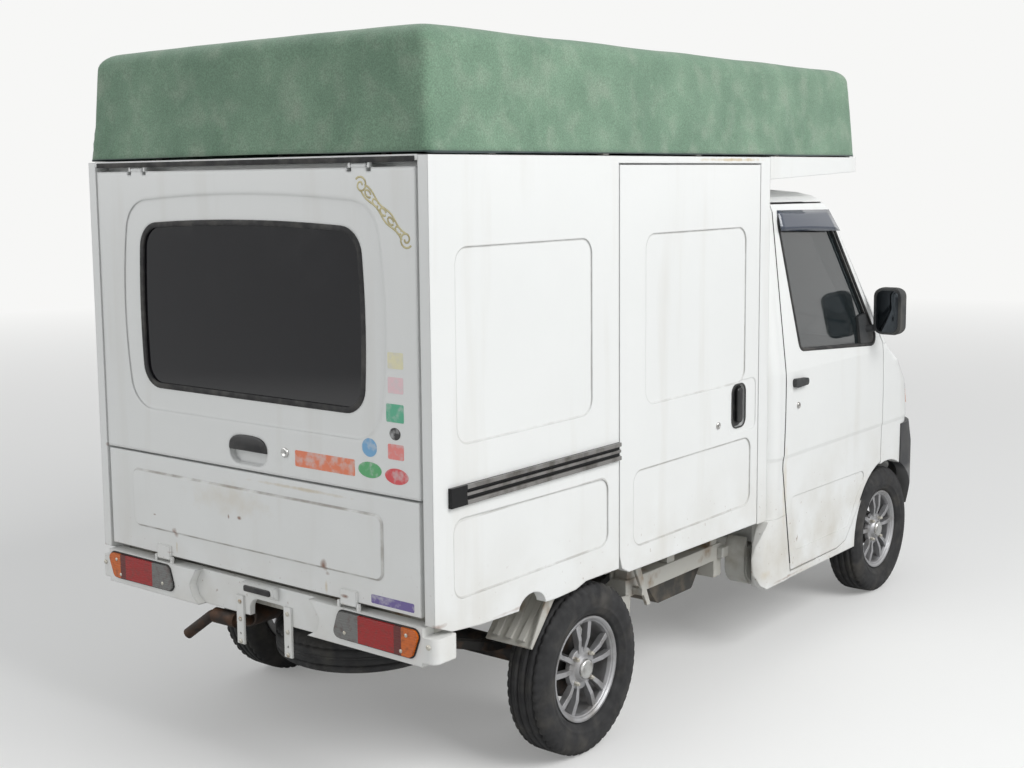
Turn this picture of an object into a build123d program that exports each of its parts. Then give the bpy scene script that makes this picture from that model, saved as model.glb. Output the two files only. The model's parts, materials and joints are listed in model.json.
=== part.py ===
# Kei truck with a steel panel box, a canvas upper part and a board over the cab.
# Millimetres. X is the truck's left, +Y is the rear, Z is up, origin on the ground
# under the middle of the whole length.
import math
import os
from build123d import *

# Driving dimensions
front_overhang = 432.5
wheelbase = 2200.0
rear_overhang = 762.5
overall_length = front_overhang + wheelbase + rear_overhang
front_y = -overall_length / 2
rear_y = overall_length / 2
front_axle_y = front_y + front_overhang
rear_axle_y = front_axle_y + wheelbase

tyre_radius = 270.5
tyre_width = 145.0
tyre_centre_x = 650.0
bead_radius = 152.4
rim_width = 104.0
rim_flange = 14.0
rim_barrel_wall = 8.0
spoke_pairs = 5
spoke_lean = 13.0
lug_count = 4
lug_circle_radius = 55.0
lug_bore_radius = 8.0
hub_bore_radius = 30.0
hub_length = 46.0
spindle_clearance = 0.5

panel_gap = 5.0
door_rear_gap = 7.0
seat_gap = 0.3

# Cab
cab_half_width = 737.0
cab_rear_y = front_axle_y + 1065.0
cab_bottom_z = 262.0
cab_wall = 40.0
door_thickness = 60.0
frame_thickness = 35.0
door_front_y = front_axle_y + 67.0
door_low_z = 292.0
belt_z = 1080.0
crease_depth = 3.0
glass_thickness = 5.0
glass_depth = 14.0
arch_radius = 305.0
arch_flange = 12.0
wheelhouse_inner_x = 405.0
sheet = 12.0
cab_floor_z = 380.0
cab_floor_front_y = front_y + 167.5
cab_inner_x = cab_half_width - 75.0
riser_top_z = 640.0
riser_front_y = front_axle_y + 360.0
riser_rear_y = cab_rear_y - cab_wall - seat_gap
cab_split_z = 1085.0
cab_post_z = 516.0
rear_turn_width = 42.0
rear_turn_depth = 85.0
bumper_top_z = 715.0
bumper_bottom_z = 330.0
bumper_side_y = front_axle_y - 135.0
bumper_wall = 42.0
intake_slots = 3

# Box
box_half_width = 727.0
box_wall = 35.0
box_inner_x = box_half_width - box_wall - seat_gap
box_front_y = cab_rear_y + 13.0
box_rear_y = rear_y - 20.5
box_top_z = 1860.0
box_low_z = 550.0
floor_top_z = 625.0
floor_thickness = 25.0
front_wall_thickness = 20.0
post_width = 50.0
header_y = box_rear_y - 117.0
frame_top_z = box_top_z + 2.0
slide_door_front_y = box_front_y + 74.0
slide_door_length = 900.0
slide_door_rear_y = slide_door_front_y + slide_door_length
slide_door_top_z = 1833.0
slide_door_low_z = 541.0
press_depth = 4.0
blank_top_z = 1616.0
side_belt_z = 1066.0
lower_press_z = 862.0
rail_z = 944.5
rail_height = 55.0
board_length = 705.0
board_low_rear_z = 1780.0
board_low_front_z = 1805.0
board_thickness = 18.0
board_side = 20.0
canvas_top_z = 2205.0
canvas_front_y = cab_rear_y - board_length
canvas_wall = 8.0
bow_size = 30.0
bow_spacing = 550.0

# Rear end
gate_half_width = box_half_width - 43.0
gate_top_z = 1830.0
gate_low_z = 943.0
gate_thickness = 44.0
gate_glass_thickness = 6.0
gate_glass_depth = 10.0
gate_hinge_y = box_rear_y - 5.0
gate_hinge_z = 1834.0
gate_hinge_x = 480.0
gate_pin_radius = 4.0
gate_barrel_radius = 7.0
gate_barrel_length = 56.0
hinge_ear = 8.0
hinge_play = 4.0
pin_clearance = 0.4
tailgate_top_z = 936.0
tailgate_low_z = 620.0
tailgate_thickness = 40.0
tailgate_raise = 6.0
tailgate_hinge_y = box_rear_y + 3.0
tailgate_hinge_z = 611.0
tailgate_hinge_x = 410.0
tailgate_pin_radius = 3.0
tailgate_barrel_radius = 6.0
tailgate_barrel_length = 62.0
valance_top_z = 597.0
valance_low_z = 488.0
valance_rear_y = rear_y - 9.5
valance_thickness = 48.0
scoop_depth = 28.0
lamp_depth = 38.0
plate_spacing = 210.0
plate_centre_x = -32.0
plate_hole_z = 425.0
plate_hole_radius = 3.5
strip_thickness = 6.0

# Running gear
kingpin_x = 577.0
kingpin_z = 270.0
kingpin_lean = 0.2126
spring_top_z = 606.0
rack_z = 222.0
rack_y = front_axle_y + 115.0
column_tilt = 40.0
steering_centre = (-340.0, front_axle_y + 250.0, 985.0)
steering_radius = 185.0
rail_inner_x = 330.0
rail_outer_x = 385.0
rear_rail_inner_x = 440.0
rear_rail_outer_x = 500.0
rear_rail_low_z = 470.0
rear_rail_top_z = 555.0
side_member_inner_x = 500.0
side_member_outer_x = 560.0
post_top_z = floor_top_z - floor_thickness - 25.0
spring_half_length = 440.0
spring_width = 56.0
engine_half_width = 175.5
engine_front_y = front_axle_y + 385.0
engine_rear_y = front_axle_y + 785.0
engine_mount_reach = 160.0
spare_centre = (-110.0, box_rear_y - 352.0, 382.0)
spare_half_width = 58.0

parts = {}


def block(x0, x1, y0, y1, z0, z1):
    return Pos((x0 + x1) / 2, (y0 + y1) / 2, (z0 + z1) / 2) * Box(abs(x1 - x0), y1 - y0, z1 - z0)


def outline(points, radius=0.0):
    face = make_face(Polyline(*points, close=True))
    return fillet(face.vertices(), radius) if radius else face


def prism_x(points, x0, x1, radius=0.0, grow=0.0):
    """Outline in (y, z) drawn out from x0 to x1."""
    face = outline(points, radius)
    if grow:
        face = offset(face, amount=grow, kind=Kind.INTERSECTION)
    return extrude(Plane.YZ.offset(x0) * face, amount=x1 - x0)


def prism_y(points, y0, y1, radius=0.0, grow=0.0):
    """Outline in (x, z) drawn out from y0 to y1."""
    face = outline(points, radius)
    if grow:
        face = offset(face, amount=grow)
    return extrude(Plane.XZ.offset(-y0) * face, amount=y0 - y1)


def rect(u0, u1, v0, v1):
    return [(u0, v0), (u1, v0), (u1, v1), (u0, v1)]


def rod(start, end, radius):
    """Round bar between two points."""
    a, b = Vector(*start), Vector(*end)
    return extrude(Plane(origin=a, z_dir=b - a) * Circle(radius), amount=(b - a).length)


def turned_x(profile, centre_y, centre_z):
    """Profile of (x, radius) turned about an axis along X."""
    face = make_face(Polyline(*profile, close=True))
    return Pos(0, centre_y, centre_z) * revolve(face, axis=Axis.X)


def mirrored(points):
    """Outline of (x, z) with the same points again on the other side of x = 0."""
    return points + [(-x, z) for x, z in reversed(points)]


def on_side(shape, side):
    """A shape drawn for the left, or its mirror image for the right."""
    return shape if side > 0 else mirror(shape, about=Plane.YZ)


def both_sides(shape):
    return [on_side(shape, 1), on_side(shape, -1)]


def joined(shapes):
    result = shapes[0]
    for shape in shapes[1:]:
        result = result + shape
    return result


# Plan sections of the cab and bumper: height, how much narrower than the widest,
# distance of the front's middle behind the truck's front end, bow of the front,
# width and depth of the rounded front corner
cab_sections = [
    dict(z=262.0, tuck=9.0, back=97.5, bow=10.0, corner_w=220.0, corner_d=200.0),
    dict(z=734.0, tuck=4.0, back=48.5, bow=20.0, corner_w=220.0, corner_d=240.0),
    dict(z=749.0, tuck=0.0, back=45.5, bow=20.0, corner_w=220.0, corner_d=240.0),
    dict(z=900.0, tuck=0.0, back=59.5, bow=30.0, corner_w=220.0, corner_d=240.0),
    dict(z=1000.0, tuck=2.0, back=137.5, bow=40.0, corner_w=200.0, corner_d=230.0),
    dict(z=1060.0, tuck=4.0, back=267.5, bow=70.0, corner_w=150.0, corner_d=120.0),
    dict(z=1660.0, tuck=73.0, back=777.5, bow=50.0, corner_w=130.0, corner_d=70.0),
    dict(z=1692.0, tuck=86.0, back=824.5, bow=48.0, corner_w=125.0, corner_d=66.0),
    dict(z=1714.0, tuck=106.0, back=874.5, bow=44.0, corner_w=118.0, corner_d=62.0),
    dict(z=1729.0, tuck=141.0, back=944.5, bow=38.0, corner_w=110.0, corner_d=60.0),
    dict(z=1739.0, tuck=201.0, back=1037.5, bow=30.0, corner_w=100.0, corner_d=60.0),
    dict(z=1744.0, tuck=280.0, back=1140.0, bow=24.0, corner_w=90.0, corner_d=55.0),
]
roof_start_z = 1660.0
front_slope_factor = 1.25

bumper_sections = [
    dict(z=bumper_bottom_z, tuck=9.0, back=17.5, bow=20.0, corner_w=200.0, corner_d=205.0),
    dict(z=430.0, tuck=0.0, back=0.0, bow=20.0, corner_w=200.0, corner_d=215.0),
    dict(z=620.0, tuck=0.0, back=0.0, bow=20.0, corner_w=200.0, corner_d=215.0),
    dict(z=bumper_top_z, tuck=0.0, back=29.5, bow=20.0, corner_w=200.0, corner_d=215.0),
]


def plan_section(s, rear, inset, z):
    half = cab_half_width - s["tuck"] - inset
    front = front_y + s["back"] + inset * front_slope_factor
    side = front + s["bow"]
    turn = side + s["corner_d"]
    shoulder = half - s["corner_w"]
    mid_x = half - s["corner_w"] * (1 - math.cos(math.radians(45)))
    mid_y = turn - s["corner_d"] * math.sin(math.radians(45))
    back = rear - inset
    width, depth = max(rear_turn_width - inset, 8.0), max(rear_turn_depth - inset, 12.0)
    turn_x, turn_y = half - 0.29 * width, back - 0.29 * depth
    edges = [
        Line((half, back - depth), (half, turn)),
        ThreePointArc((half, turn), (mid_x, mid_y), (shoulder, side)),
        ThreePointArc((shoulder, side), (0, front), (-shoulder, side)),
        ThreePointArc((-shoulder, side), (-mid_x, mid_y), (-half, turn)),
        Line((-half, turn), (-half, back - depth)),
        ThreePointArc((-half, back - depth), (-turn_x, turn_y), (-half + width, back)),
        Line((-half + width, back), (half - width, back)),
        ThreePointArc((half - width, back), (turn_x, turn_y), (half, back - depth)),
    ]
    return Plane.XY.offset(z) * make_face(edges)


drawn_cabs = {}


def cab_form(inset):
    """The cab's whole outside, or the same drawn in by inset and open below."""
    if inset not in drawn_cabs:
        sections = []
        for s in cab_sections:
            z = s["z"] - (inset if s["z"] >= roof_start_z else 0.0)
            if s["z"] == cab_bottom_z and inset > 0:
                z = cab_bottom_z - 60.0
            sections.append(plan_section(s, cab_rear_y, inset, z))
        drawn_cabs[inset] = loft(sections, ruled=True)
    return drawn_cabs[inset]


def cab_skin(outer, inner):
    """The layer of the cab's wall between two depths under its outside."""
    return cab_form(outer) - cab_form(inner)


def bumper_form(inset):
    rear = bumper_side_y + 100.0
    last = len(bumper_sections) - 1
    sections = []
    for i, s in enumerate(bumper_sections):
        z = s["z"] - inset if i == 0 else s["z"] + (inset if i == last else 0)
        sections.append(plan_section(s, rear + inset, inset, z))
    return loft(sections, ruled=True)


# Side outlines of the door and its window in (y, z)
door_points = [
    (cab_rear_y - 128.0, 1688.0), (front_y + 895.5, 1684.0), (door_front_y, 1090.0), (door_front_y, 480.0),
    (front_axle_y + 241.0, 462.0), (front_axle_y + 347.0, 355.0), (front_axle_y + 392.0, 309.0),
    (front_axle_y + 470.0, door_low_z), (cab_rear_y - 189.0, door_low_z), (cab_rear_y - 108.0, 700.0),
    (cab_rear_y - 125.0, 1035.0),
]
window_points = [
    (cab_rear_y - 160.0, 1652.0), (front_y + 915.5, 1646.0), (front_y + 549.5, 1095.0),
    (cab_rear_y - 255.0, 1140.0),
]
mirror_patch_points = [
    (front_y + 551.5, 1097.0), (front_y + 707.5, 1105.0), (front_y + 707.5, 1215.0), (front_y + 637.5, 1225.0),
]
door_press_points = [
    (cab_rear_y - 175.0, 578.0), (door_front_y + 131.0, 570.0), (door_front_y + 200.0, 500.0),
    (door_front_y + 308.0, 360.0), (cab_rear_y - 222.0, 362.0),
]


def side_prism(points, side, grow=0.0, radius=0.0, inner=300.0):
    return on_side(prism_x(points, inner, cab_half_width + 160.0, radius, grow), side)


def wheel_arch(side, radius=arch_radius, inner=wheelhouse_inner_x, outer=cab_half_width + 160.0):
    arch = Plane.YZ.offset(inner) * Pos(front_axle_y, tyre_radius, 0) * Circle(radius)
    return on_side(extrude(arch, amount=outer - inner), side)


def from_front(face, depth=950.0):
    """A face in (x, z) drawn rearwards from ahead of the cab."""
    return extrude(Plane.XZ.offset(-front_y + 50.0) * face, amount=-depth)


screen_points = mirrored([(cab_half_width - 202.0, 1630.0), (cab_half_width - 147.0, 1092.0)])
rear_window_points = rect(-470.0, 470.0, 1180.0, 1540.0)
lamp_points = [(430.0, 770.0), (700.0, 770.0), (715.0, 880.0), (640.0, 905.0), (450.0, 890.0)]
headlamp_rear_y = front_y + 245.5


def headlamp_space(gap=0.0):
    face = outline(lamp_points, 15)
    if gap:
        face = offset(face, amount=-gap)
    return from_front(face, 300.0) & block(0, 900, front_y - 60, headlamp_rear_y - gap, 600, 1000)


def cab_openings(side):
    """What the door and the wheel take out of the cab's outside on one side."""
    door = side_prism(door_points, side, grow=panel_gap)
    behind = on_side(block(300, 900, cab_rear_y - 400.0, cab_rear_y, 200, 1800), side)
    wider = side_prism(door_points, side, grow=door_rear_gap) & behind
    return door + wider + wheel_arch(side, inner=wheelhouse_inner_x + 195.0)


def make_cab_shell():
    """Roof, pillars and rear wall, above and behind the doors."""
    shell = cab_skin(0, cab_wall)
    shell -= block(-900, 900, front_y - 60, door_front_y + 100.0, 200, cab_split_z)
    shell -= block(-900, 900, front_y - 60, cab_rear_y + 10, 200, cab_post_z)
    shell -= from_front(outline(screen_points, 60))
    shell -= prism_y(rear_window_points, cab_rear_y - 60, cab_rear_y + 10, 50)
    for side in (1, -1):
        shell -= cab_openings(side)
    return shell


def make_cab_front():
    """Front panel below the windscreen, with the fenders ahead of the doors."""
    panel = cab_skin(0, cab_wall)
    panel = panel & block(-900, 900, front_y - 60, door_front_y + 100.0, cab_bottom_z, cab_split_z - seat_gap)
    panel -= block(-900, 900, front_y - 60, bumper_side_y + seat_gap, 200, bumper_top_z + seat_gap)
    panel -= from_front(outline(screen_points, 60))
    for side in (1, -1):
        panel -= cab_openings(side)
        panel -= on_side(headlamp_space(), side)
    return panel


def make_cab_sills():
    """Sill under each door, its rise along the wheel arch and the rounded corner panel behind it."""
    corner = [
        (cab_rear_y + 4.0, 516.0), (cab_rear_y + 30.0, 480.0), (cab_rear_y + 52.0, 430.0), (cab_rear_y + 60.0, 380.0),
        (cab_rear_y + 56.0, 320.0), (cab_rear_y + 38.0, 280.0), (cab_rear_y + 10.0, cab_bottom_z),
        (cab_rear_y - 160.0, cab_bottom_z), (cab_rear_y - 90.0, cab_post_z - seat_gap),
    ]
    sill = cab_skin(0, cab_wall) & block(0, 900, door_front_y, cab_rear_y, cab_bottom_z, cab_post_z - seat_gap)
    sill = sill & block(cab_inner_x + seat_gap, 900, door_front_y, cab_rear_y, 0, 900)
    half = cab_half_width - 5.0
    turn = plan_section(dict(tuck=5.0, back=0.0, bow=20.0, corner_w=200.0, corner_d=200.0), cab_rear_y + 62.0, 0, 200)
    bulge = prism_x(corner, half - cab_wall, half) & extrude(turn, amount=400)
    return both_sides(sill + bulge - cab_openings(1))


def make_headlamps():
    lens = cab_skin(-2.0, 34.0) & headlamp_space(seat_gap)
    return both_sides(lens)


def make_bumper():
    bumper = bumper_form(0) - bumper_form(bumper_wall)
    bumper = bumper & block(-900, 900, front_y - 100, bumper_side_y, bumper_bottom_z, bumper_top_z)
    for side in (1, -1):
        bumper -= wheel_arch(side, inner=wheelhouse_inner_x + 95.0)
        lamp = Plane.XZ.offset(-front_y + 50.0) * Pos(side * 470.0, 500.0) * Circle(48)
        bumper -= extrude(lamp, amount=-72.0)
    for slot in range(intake_slots):
        low = 375.0 + 42.0 * slot
        bumper -= prism_y(rect(-260, 260, low, low + 26.0), front_y - 50, front_y + 120, 8)
    return bumper


def make_door(side):
    low = block(300, 900, door_front_y - 100, cab_rear_y, 200, belt_z)
    high = block(300, 900, door_front_y - 100, cab_rear_y, belt_z, 1750)
    door = (cab_skin(0, door_thickness) & on_side(low, side)) + (cab_skin(0, frame_thickness) & on_side(high, side))
    door = door & side_prism(door_points, side)
    door -= wheel_arch(side, radius=arch_radius + arch_flange)
    door -= side_prism(window_points, side, radius=30)
    door -= cab_skin(-5, crease_depth) & side_prism(door_press_points, side, radius=24)
    return door


def make_door_glass(side):
    glass = cab_skin(glass_depth, glass_depth + glass_thickness)
    return glass & side_prism(window_points, side, radius=30, grow=-seat_gap)


def make_door_fittings(side):
    """Mirror with its arm and corner patch, and the pull handle."""
    head_y = door_front_y + 93.0
    head_x = (cab_half_width + 15.0, cab_half_width + 131.0)
    head = prism_x(rect(head_y, head_y + 55.0, 1140, 1335), *head_x, 22)
    head = head & prism_y(rect(*head_x, 1140, 1335), head_y, head_y + 55.0, 38)
    arm = rod((cab_half_width - 21, head_y + 45, 1160), (cab_half_width + 53, head_y + 27, 1175), 14)
    patch = cab_skin(1.0, glass_depth - seat_gap) & prism_x(mirror_patch_points, 600.0, 800.0)
    patch = patch & prism_x(window_points, 600.0, 800.0, 30, -seat_gap)
    handle_y = cab_rear_y - 275.0
    grip = [(handle_y, 1003), (handle_y + 103, 1000), (handle_y + 103, 1034), (handle_y, 1029)]
    handle = prism_x(grip, cab_half_width - 9, cab_half_width + 15, 12) - cab_form(-seat_gap)
    pieces = [head + arm + patch, handle]
    return [on_side(piece, side) for piece in pieces]


def make_cab_glass():
    face = offset(outline(screen_points, 60), amount=-seat_gap)
    screen = cab_skin(glass_depth, glass_depth + 6.0) & from_front(face)
    screen = screen & block(-700, 700, front_y, front_y + 1097.5, 1000, 1700)
    rear_y0 = cab_rear_y - 26.0
    rear = prism_y(rear_window_points, rear_y0, rear_y0 + 6.0, 50, -seat_gap)
    return [screen, rear]


def make_cab_floor():
    """Floor, toe board and wheelhouses with their spring towers."""
    toe_y = cab_floor_front_y
    top = cab_floor_z + sheet
    rear = riser_front_y - seat_gap
    pieces = [
        block(-wheelhouse_inner_x, wheelhouse_inner_x, toe_y, rear, cab_floor_z, top),
        block(-cab_inner_x, cab_inner_x, front_axle_y + 318.0, rear, cab_floor_z, top),
        block(-cab_inner_x, cab_inner_x, toe_y - sheet, toe_y, cab_floor_z, 820),
    ]
    for side in (1, -1):
        house = wheel_arch(side, arch_radius + sheet, wheelhouse_inner_x - sheet, cab_inner_x)
        house -= wheel_arch(side, arch_radius, wheelhouse_inner_x, cab_inner_x + 20.0)
        house = house & block(-900, 900, front_axle_y - 335.0, front_axle_y + 365.0, cab_floor_z, 620)
        pieces.append(house)
    floor = joined(pieces)
    for side in (1, -1):
        floor -= wheel_arch(side)
        floor += rod(kingpin_at(575, side), kingpin_at(622, side), 62)
        floor -= rod(kingpin_at(545, side), kingpin_at(spring_top_z + seat_gap, side), 52)
    return floor & cab_form(cab_wall + seat_gap)


def make_seat_riser():
    """Raised step under the seats and over the engine."""
    top = riser_top_z - sheet
    profile = [
        (riser_front_y, cab_floor_z), (riser_front_y, riser_top_z), (riser_rear_y, riser_top_z),
        (riser_rear_y, cab_floor_z + 40.0), (riser_rear_y - sheet, cab_floor_z + 40.0),
        (riser_rear_y - sheet, top), (riser_front_y + sheet, top), (riser_front_y + sheet, cab_floor_z),
    ]
    riser = prism_x(profile, -cab_inner_x, cab_inner_x)
    for sill in both_sides(block(cab_inner_x - sheet, cab_inner_x, riser_front_y, riser_rear_y, 300, riser_top_z)):
        riser += sill
    return riser


def make_dashboard():
    """Dashboard with the steering column through it."""
    face_y = front_axle_y + 85.0
    body = prism_x([(front_y + 217.5, 840), (face_y, 840), (face_y + 60, 905), (face_y + 30, 1030),
                    (face_y - 80, 1062), (front_y + 217.5, 1062)], -cab_inner_x, cab_inner_x)
    body = body & cab_form(cab_wall + seat_gap)
    tilt = math.radians(column_tilt)
    centre = Vector(*steering_centre)
    reach = Vector(0, -math.sin(tilt), -math.cos(tilt))
    column = rod(tuple(centre + reach * 42.5), tuple(centre + reach * 300), 28)
    column += rod(tuple(centre + reach * 300), tuple(centre + reach * 748), 15)
    shroud = block(centre.X - 45, centre.X + 45, face_y - 15, face_y + 95, 848, 925)
    return body + shroud + column


def make_steering_wheel():
    tilt = math.radians(column_tilt)
    wheel_plane = Plane(origin=steering_centre, x_dir=(1, 0, 0), z_dir=(0, math.sin(tilt), math.cos(tilt)))
    wheel = Torus(steering_radius, 14)
    wheel += Pos(0, 0, -22) * Cylinder(46, 40)
    for turn in (90, 210, 330):
        wheel += Rot(0, 0, turn) * Pos(steering_radius / 2 + 10, 0, -12) * Box(steering_radius - 30, 30, 14)
    return wheel_plane * wheel


def make_seats():
    front, rear = riser_front_y + 25.0, cab_rear_y - 100.0
    base = riser_top_z + seat_gap
    cushion = prism_x([(front, base), (rear - 130, base), (rear - 130, base + 100), (front + 10, base + 135)], -250, 250, 18)
    back = prism_x([(rear - 155, base + 50), (rear, base + 50), (rear + 38, base + 590), (rear - 45, base + 600)],
                   -240, 240, 18)
    rest = prism_x([(rear - 35, base + 598), (rear + 32, base + 592), (rear + 42, base + 750), (rear - 22, base + 755)],
                   -120, 120, 15)
    seat = cushion + back + rest
    return [Pos(x, 0, 0) * seat for x in (350, -350)]


# Wheels
def make_tyre(x, y):
    half = tyre_width / 2
    bead = rim_width / 2 - 6 - seat_gap
    inner = bead_radius + seat_gap
    right = [
        (bead, inner), (bead, bead_radius + rim_flange + 1), (bead + 12, bead_radius + 24), (half, bead_radius + 60),
        (half - 5, tyre_radius - 26), (half - 20, tyre_radius - 3), (half - 34, tyre_radius),
    ]
    profile = right + [(-u, radius) for u, radius in reversed(right)]
    return Pos(x, 0, 0) * turned_x(profile, y, tyre_radius)


def make_rim(side):
    """Wheel for the left side: its face looks to +X. Barrel, hub and paired spokes."""
    half = rim_width / 2
    inner = bead_radius - rim_barrel_wall
    lip = bead_radius + rim_flange
    barrel = [
        (-half, lip), (-half + 6, lip), (-half + 6, bead_radius), (half - 6, bead_radius), (half - 6, lip),
        (half, lip), (half, lip - 6), (half - 9, inner + 4), (half - 20, inner), (-half, inner),
    ]
    hub = [(18, hub_bore_radius), (hub_length, hub_bore_radius), (hub_length, 36), (hub_length - 10, 43),
           (hub_length - 14, 66), (18, 70)]
    dish = [(20, 52), (hub_length - 11, 52), (hub_length - 2, 100), (half - 11, inner + 3), (half - 30, inner + 3)]
    rim = turned_x(barrel, 0, 0) + turned_x(hub, 0, 0)
    face = turned_x(dish, 0, 0)
    spoke = prism_x([(-6, 48), (-9, inner + 3), (9, inner + 3), (6, 48)], 10, half)
    spokes = []
    for pair in range(spoke_pairs):
        for lean in (-spoke_lean, spoke_lean):
            spokes.append(Rot(360.0 / spoke_pairs * pair + lean, 0, 0) * spoke)
    rim += joined(spokes) & face
    for lug in range(lug_count):
        place = Rot(360.0 / lug_count * lug + 45, 0, 0) * Pos(hub_length, 0, lug_circle_radius) * Rot(0, 90, 0)
        rim -= place * Cylinder(lug_bore_radius, 24)
    return on_side(rim, side)


# Running gear
def kingpin_at(z, side):
    return (side * (kingpin_x - kingpin_lean * (z - kingpin_z)), front_axle_y, z)


def make_knuckle(side):
    end_x = tyre_centre_x + hub_length
    spindle = hub_bore_radius - spindle_clearance
    profile = [(598, 0), (598, 60), (616, 72), (640, 72), (644, 60), (644, spindle), (end_x, spindle), (end_x, 0)]
    drum = turned_x(profile, front_axle_y, tyre_radius)
    upright = prism_x([(front_axle_y - 35, 200), (front_axle_y + 35, 200), (front_axle_y + 40, 330),
                       (front_axle_y - 40, 330)], 572, 606)
    strut = rod(kingpin_at(300, 1), kingpin_at(540, 1), 24)
    foot = rod(kingpin_at(195, 1), kingpin_at(225, 1), 22)
    arm = block(560, 590, front_axle_y, rack_y + 5.0, rack_z + 28.0, rack_z + 44.0)
    return on_side(drum + upright + strut + foot + arm, side)


def make_front_subframe():
    """Cross member with the lower arms, rack and tie rods, and two springs apart from it."""
    pieces = [block(-rail_inner_x, rail_inner_x, front_axle_y - 45, front_axle_y + 45, 235, 300)]
    pieces.append(rod((-rail_inner_x, rack_y, rack_z), (rail_inner_x, rack_y, rack_z), 22))
    for side in (1, -1):
        low = kingpin_at(160, side)
        pieces.append(rod((side * 310, front_axle_y, 200), (low[0], low[1], 168), 16))
        pieces.append(on_side(block(290, rail_inner_x, front_axle_y - 35, front_axle_y + 35, 180, 240), side))
        pieces.append(rod(low, kingpin_at(194.5, side), 18))
        pieces.append(on_side(block(180, 230, front_axle_y + 35, rack_y + 20, rack_z, rack_z + 53), side))
        pieces.append(rod((side * 320, rack_y, rack_z), (side * kingpin_x, rack_y - 5, rack_z), 9))
        ball = (side * (kingpin_x - 2), rack_y - 5)
        pieces.append(rod((*ball, rack_z - 7), (*ball, rack_z + 12.0), 14))
    springs = [rod(kingpin_at(545, side), kingpin_at(spring_top_z, side), 44) for side in (1, -1)]
    return [joined(pieces)] + springs


def make_chassis():
    """Main rails, side members behind the cab, kick-up over the rear axle, cross members."""
    step_y = rear_axle_y - 505.0
    rear_end_y = box_rear_y - 88.0
    member_front_y = cab_rear_y + 50.0
    # One side's lengths: inner and outer x, front and rear y, low and top z
    lengths = [
        (rail_inner_x, rail_outer_x, front_y + 197.5, cab_rear_y + 100.0, 270, 370),
        (side_member_inner_x, side_member_outer_x, member_front_y, step_y + 70.0, 365, 425),
        (rear_rail_inner_x, rear_rail_outer_x, step_y, rear_end_y, rear_rail_low_z, rear_rail_top_z),
        (rear_rail_inner_x, rear_rail_outer_x, step_y, step_y + 70.0, 365, rear_rail_top_z),
        (rail_inner_x, side_member_outer_x, member_front_y, cab_rear_y + 105.0, 300, 400),
        (side_member_outer_x - 10, side_member_outer_x + 40, step_y + 5.0, step_y + 30.0, 372, 396),
    ]
    pieces = []
    for place in lengths:
        pieces += both_sides(block(*place))
    stay = [(step_y + 72, 474), (step_y + 38, 474), (step_y - 26, 330), (step_y - 4, 330)]
    tab = [(step_y + 121, 380), (step_y + 44, 372), (step_y + 49, 303), (step_y + 99, 310)]
    pieces += both_sides(prism_x(stay, side_member_outer_x + 30, side_member_outer_x + 40))
    pieces += both_sides(prism_x(tab, side_member_outer_x - 4, side_member_outer_x + 3, 8))
    for y, z0, z1 in ((front_y + 217.5, 290.0, 360.0), (front_axle_y + 315.0, 290.0, 360.0),
                      (cab_rear_y - 100.0, 271.0, 315.0)):
        pieces.append(block(-rail_inner_x - 10, rail_inner_x + 10, y - 30, y + 30, z0, z1))
    for y in (step_y + 30.0, rear_axle_y + 245.0, header_y):
        pieces.append(block(-rear_rail_inner_x - 10, rear_rail_inner_x + 10, y - 30, y + 30, 500, rear_rail_top_z))
    for y in (cab_rear_y + 100.0, cab_rear_y + 400.0, step_y + 30.0):
        pieces += both_sides(block(505, 555, y - 25, y + 25, 400, post_top_z))
    for side in (1, -1):
        mount = block(engine_half_width + 0.5, engine_half_width + 0.5 + engine_mount_reach,
                      front_axle_y + 565.0, front_axle_y + 605.0, 300, 340)
        pieces.append(on_side(mount, side))
    for y in (front_axle_y - 65.0, front_axle_y + 280.0):
        pieces += both_sides(block(335, 380, y - 22, y + 22, 368, cab_floor_z - seat_gap))
    for y in (rear_axle_y - spring_half_length + 10, rear_axle_y + spring_half_length + 10):
        pieces += both_sides(block(445, 495, y - 22, y + 22, 444.3, 475))
    for y in (rear_axle_y - 235.0, rear_axle_y + 165.0, header_y):
        pieces += both_sides(block(445, 495, y - 20, y + 20, 550, post_top_z))
    return joined(pieces)


def make_rear_axle():
    """Beam axle with its drums and differential, carried by two leaf springs."""
    end_x = tyre_centre_x + hub_length
    spindle = hub_bore_radius - spindle_clearance
    half = [(70, 95), (110, 38), (586, 35), (590, 105), (642, 100), (642, spindle), (end_x, spindle)]
    profile = [(-end_x, 0)] + [(-x, r) for x, r in reversed(half)] + half + [(end_x, 0)]
    axle = turned_x(profile, rear_axle_y, tyre_radius)
    axle += rod((0, rear_axle_y - 60, 290), (0, rear_axle_y - 150, 296), 42)
    # Leaf outline: distance from the axle along Y, height of the underside
    leaf = [(-430, 420), (-215, 345), (0, 322), (215, 345), (450, 420)]
    upper = [(450, 444), (215, 372), (0, 350), (-215, 372), (-430, 444)]
    points = [(rear_axle_y + y, z) for y, z in leaf + upper]
    x0 = (rear_rail_inner_x + rear_rail_outer_x - spring_width) / 2
    for side in (1, -1):
        axle += on_side(prism_x(points, x0, x0 + spring_width), side)
        axle += on_side(block(x0, x0 + spring_width, rear_axle_y - 40, rear_axle_y + 40, 290, 355), side)
    return axle


def make_engine():
    return block(-engine_half_width, engine_half_width, engine_front_y, engine_rear_y, 290, 610)


def make_drive_shaft():
    return rod((0, engine_rear_y + 3.0, 400), (0, rear_axle_y - 153, 297), 30)


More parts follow.
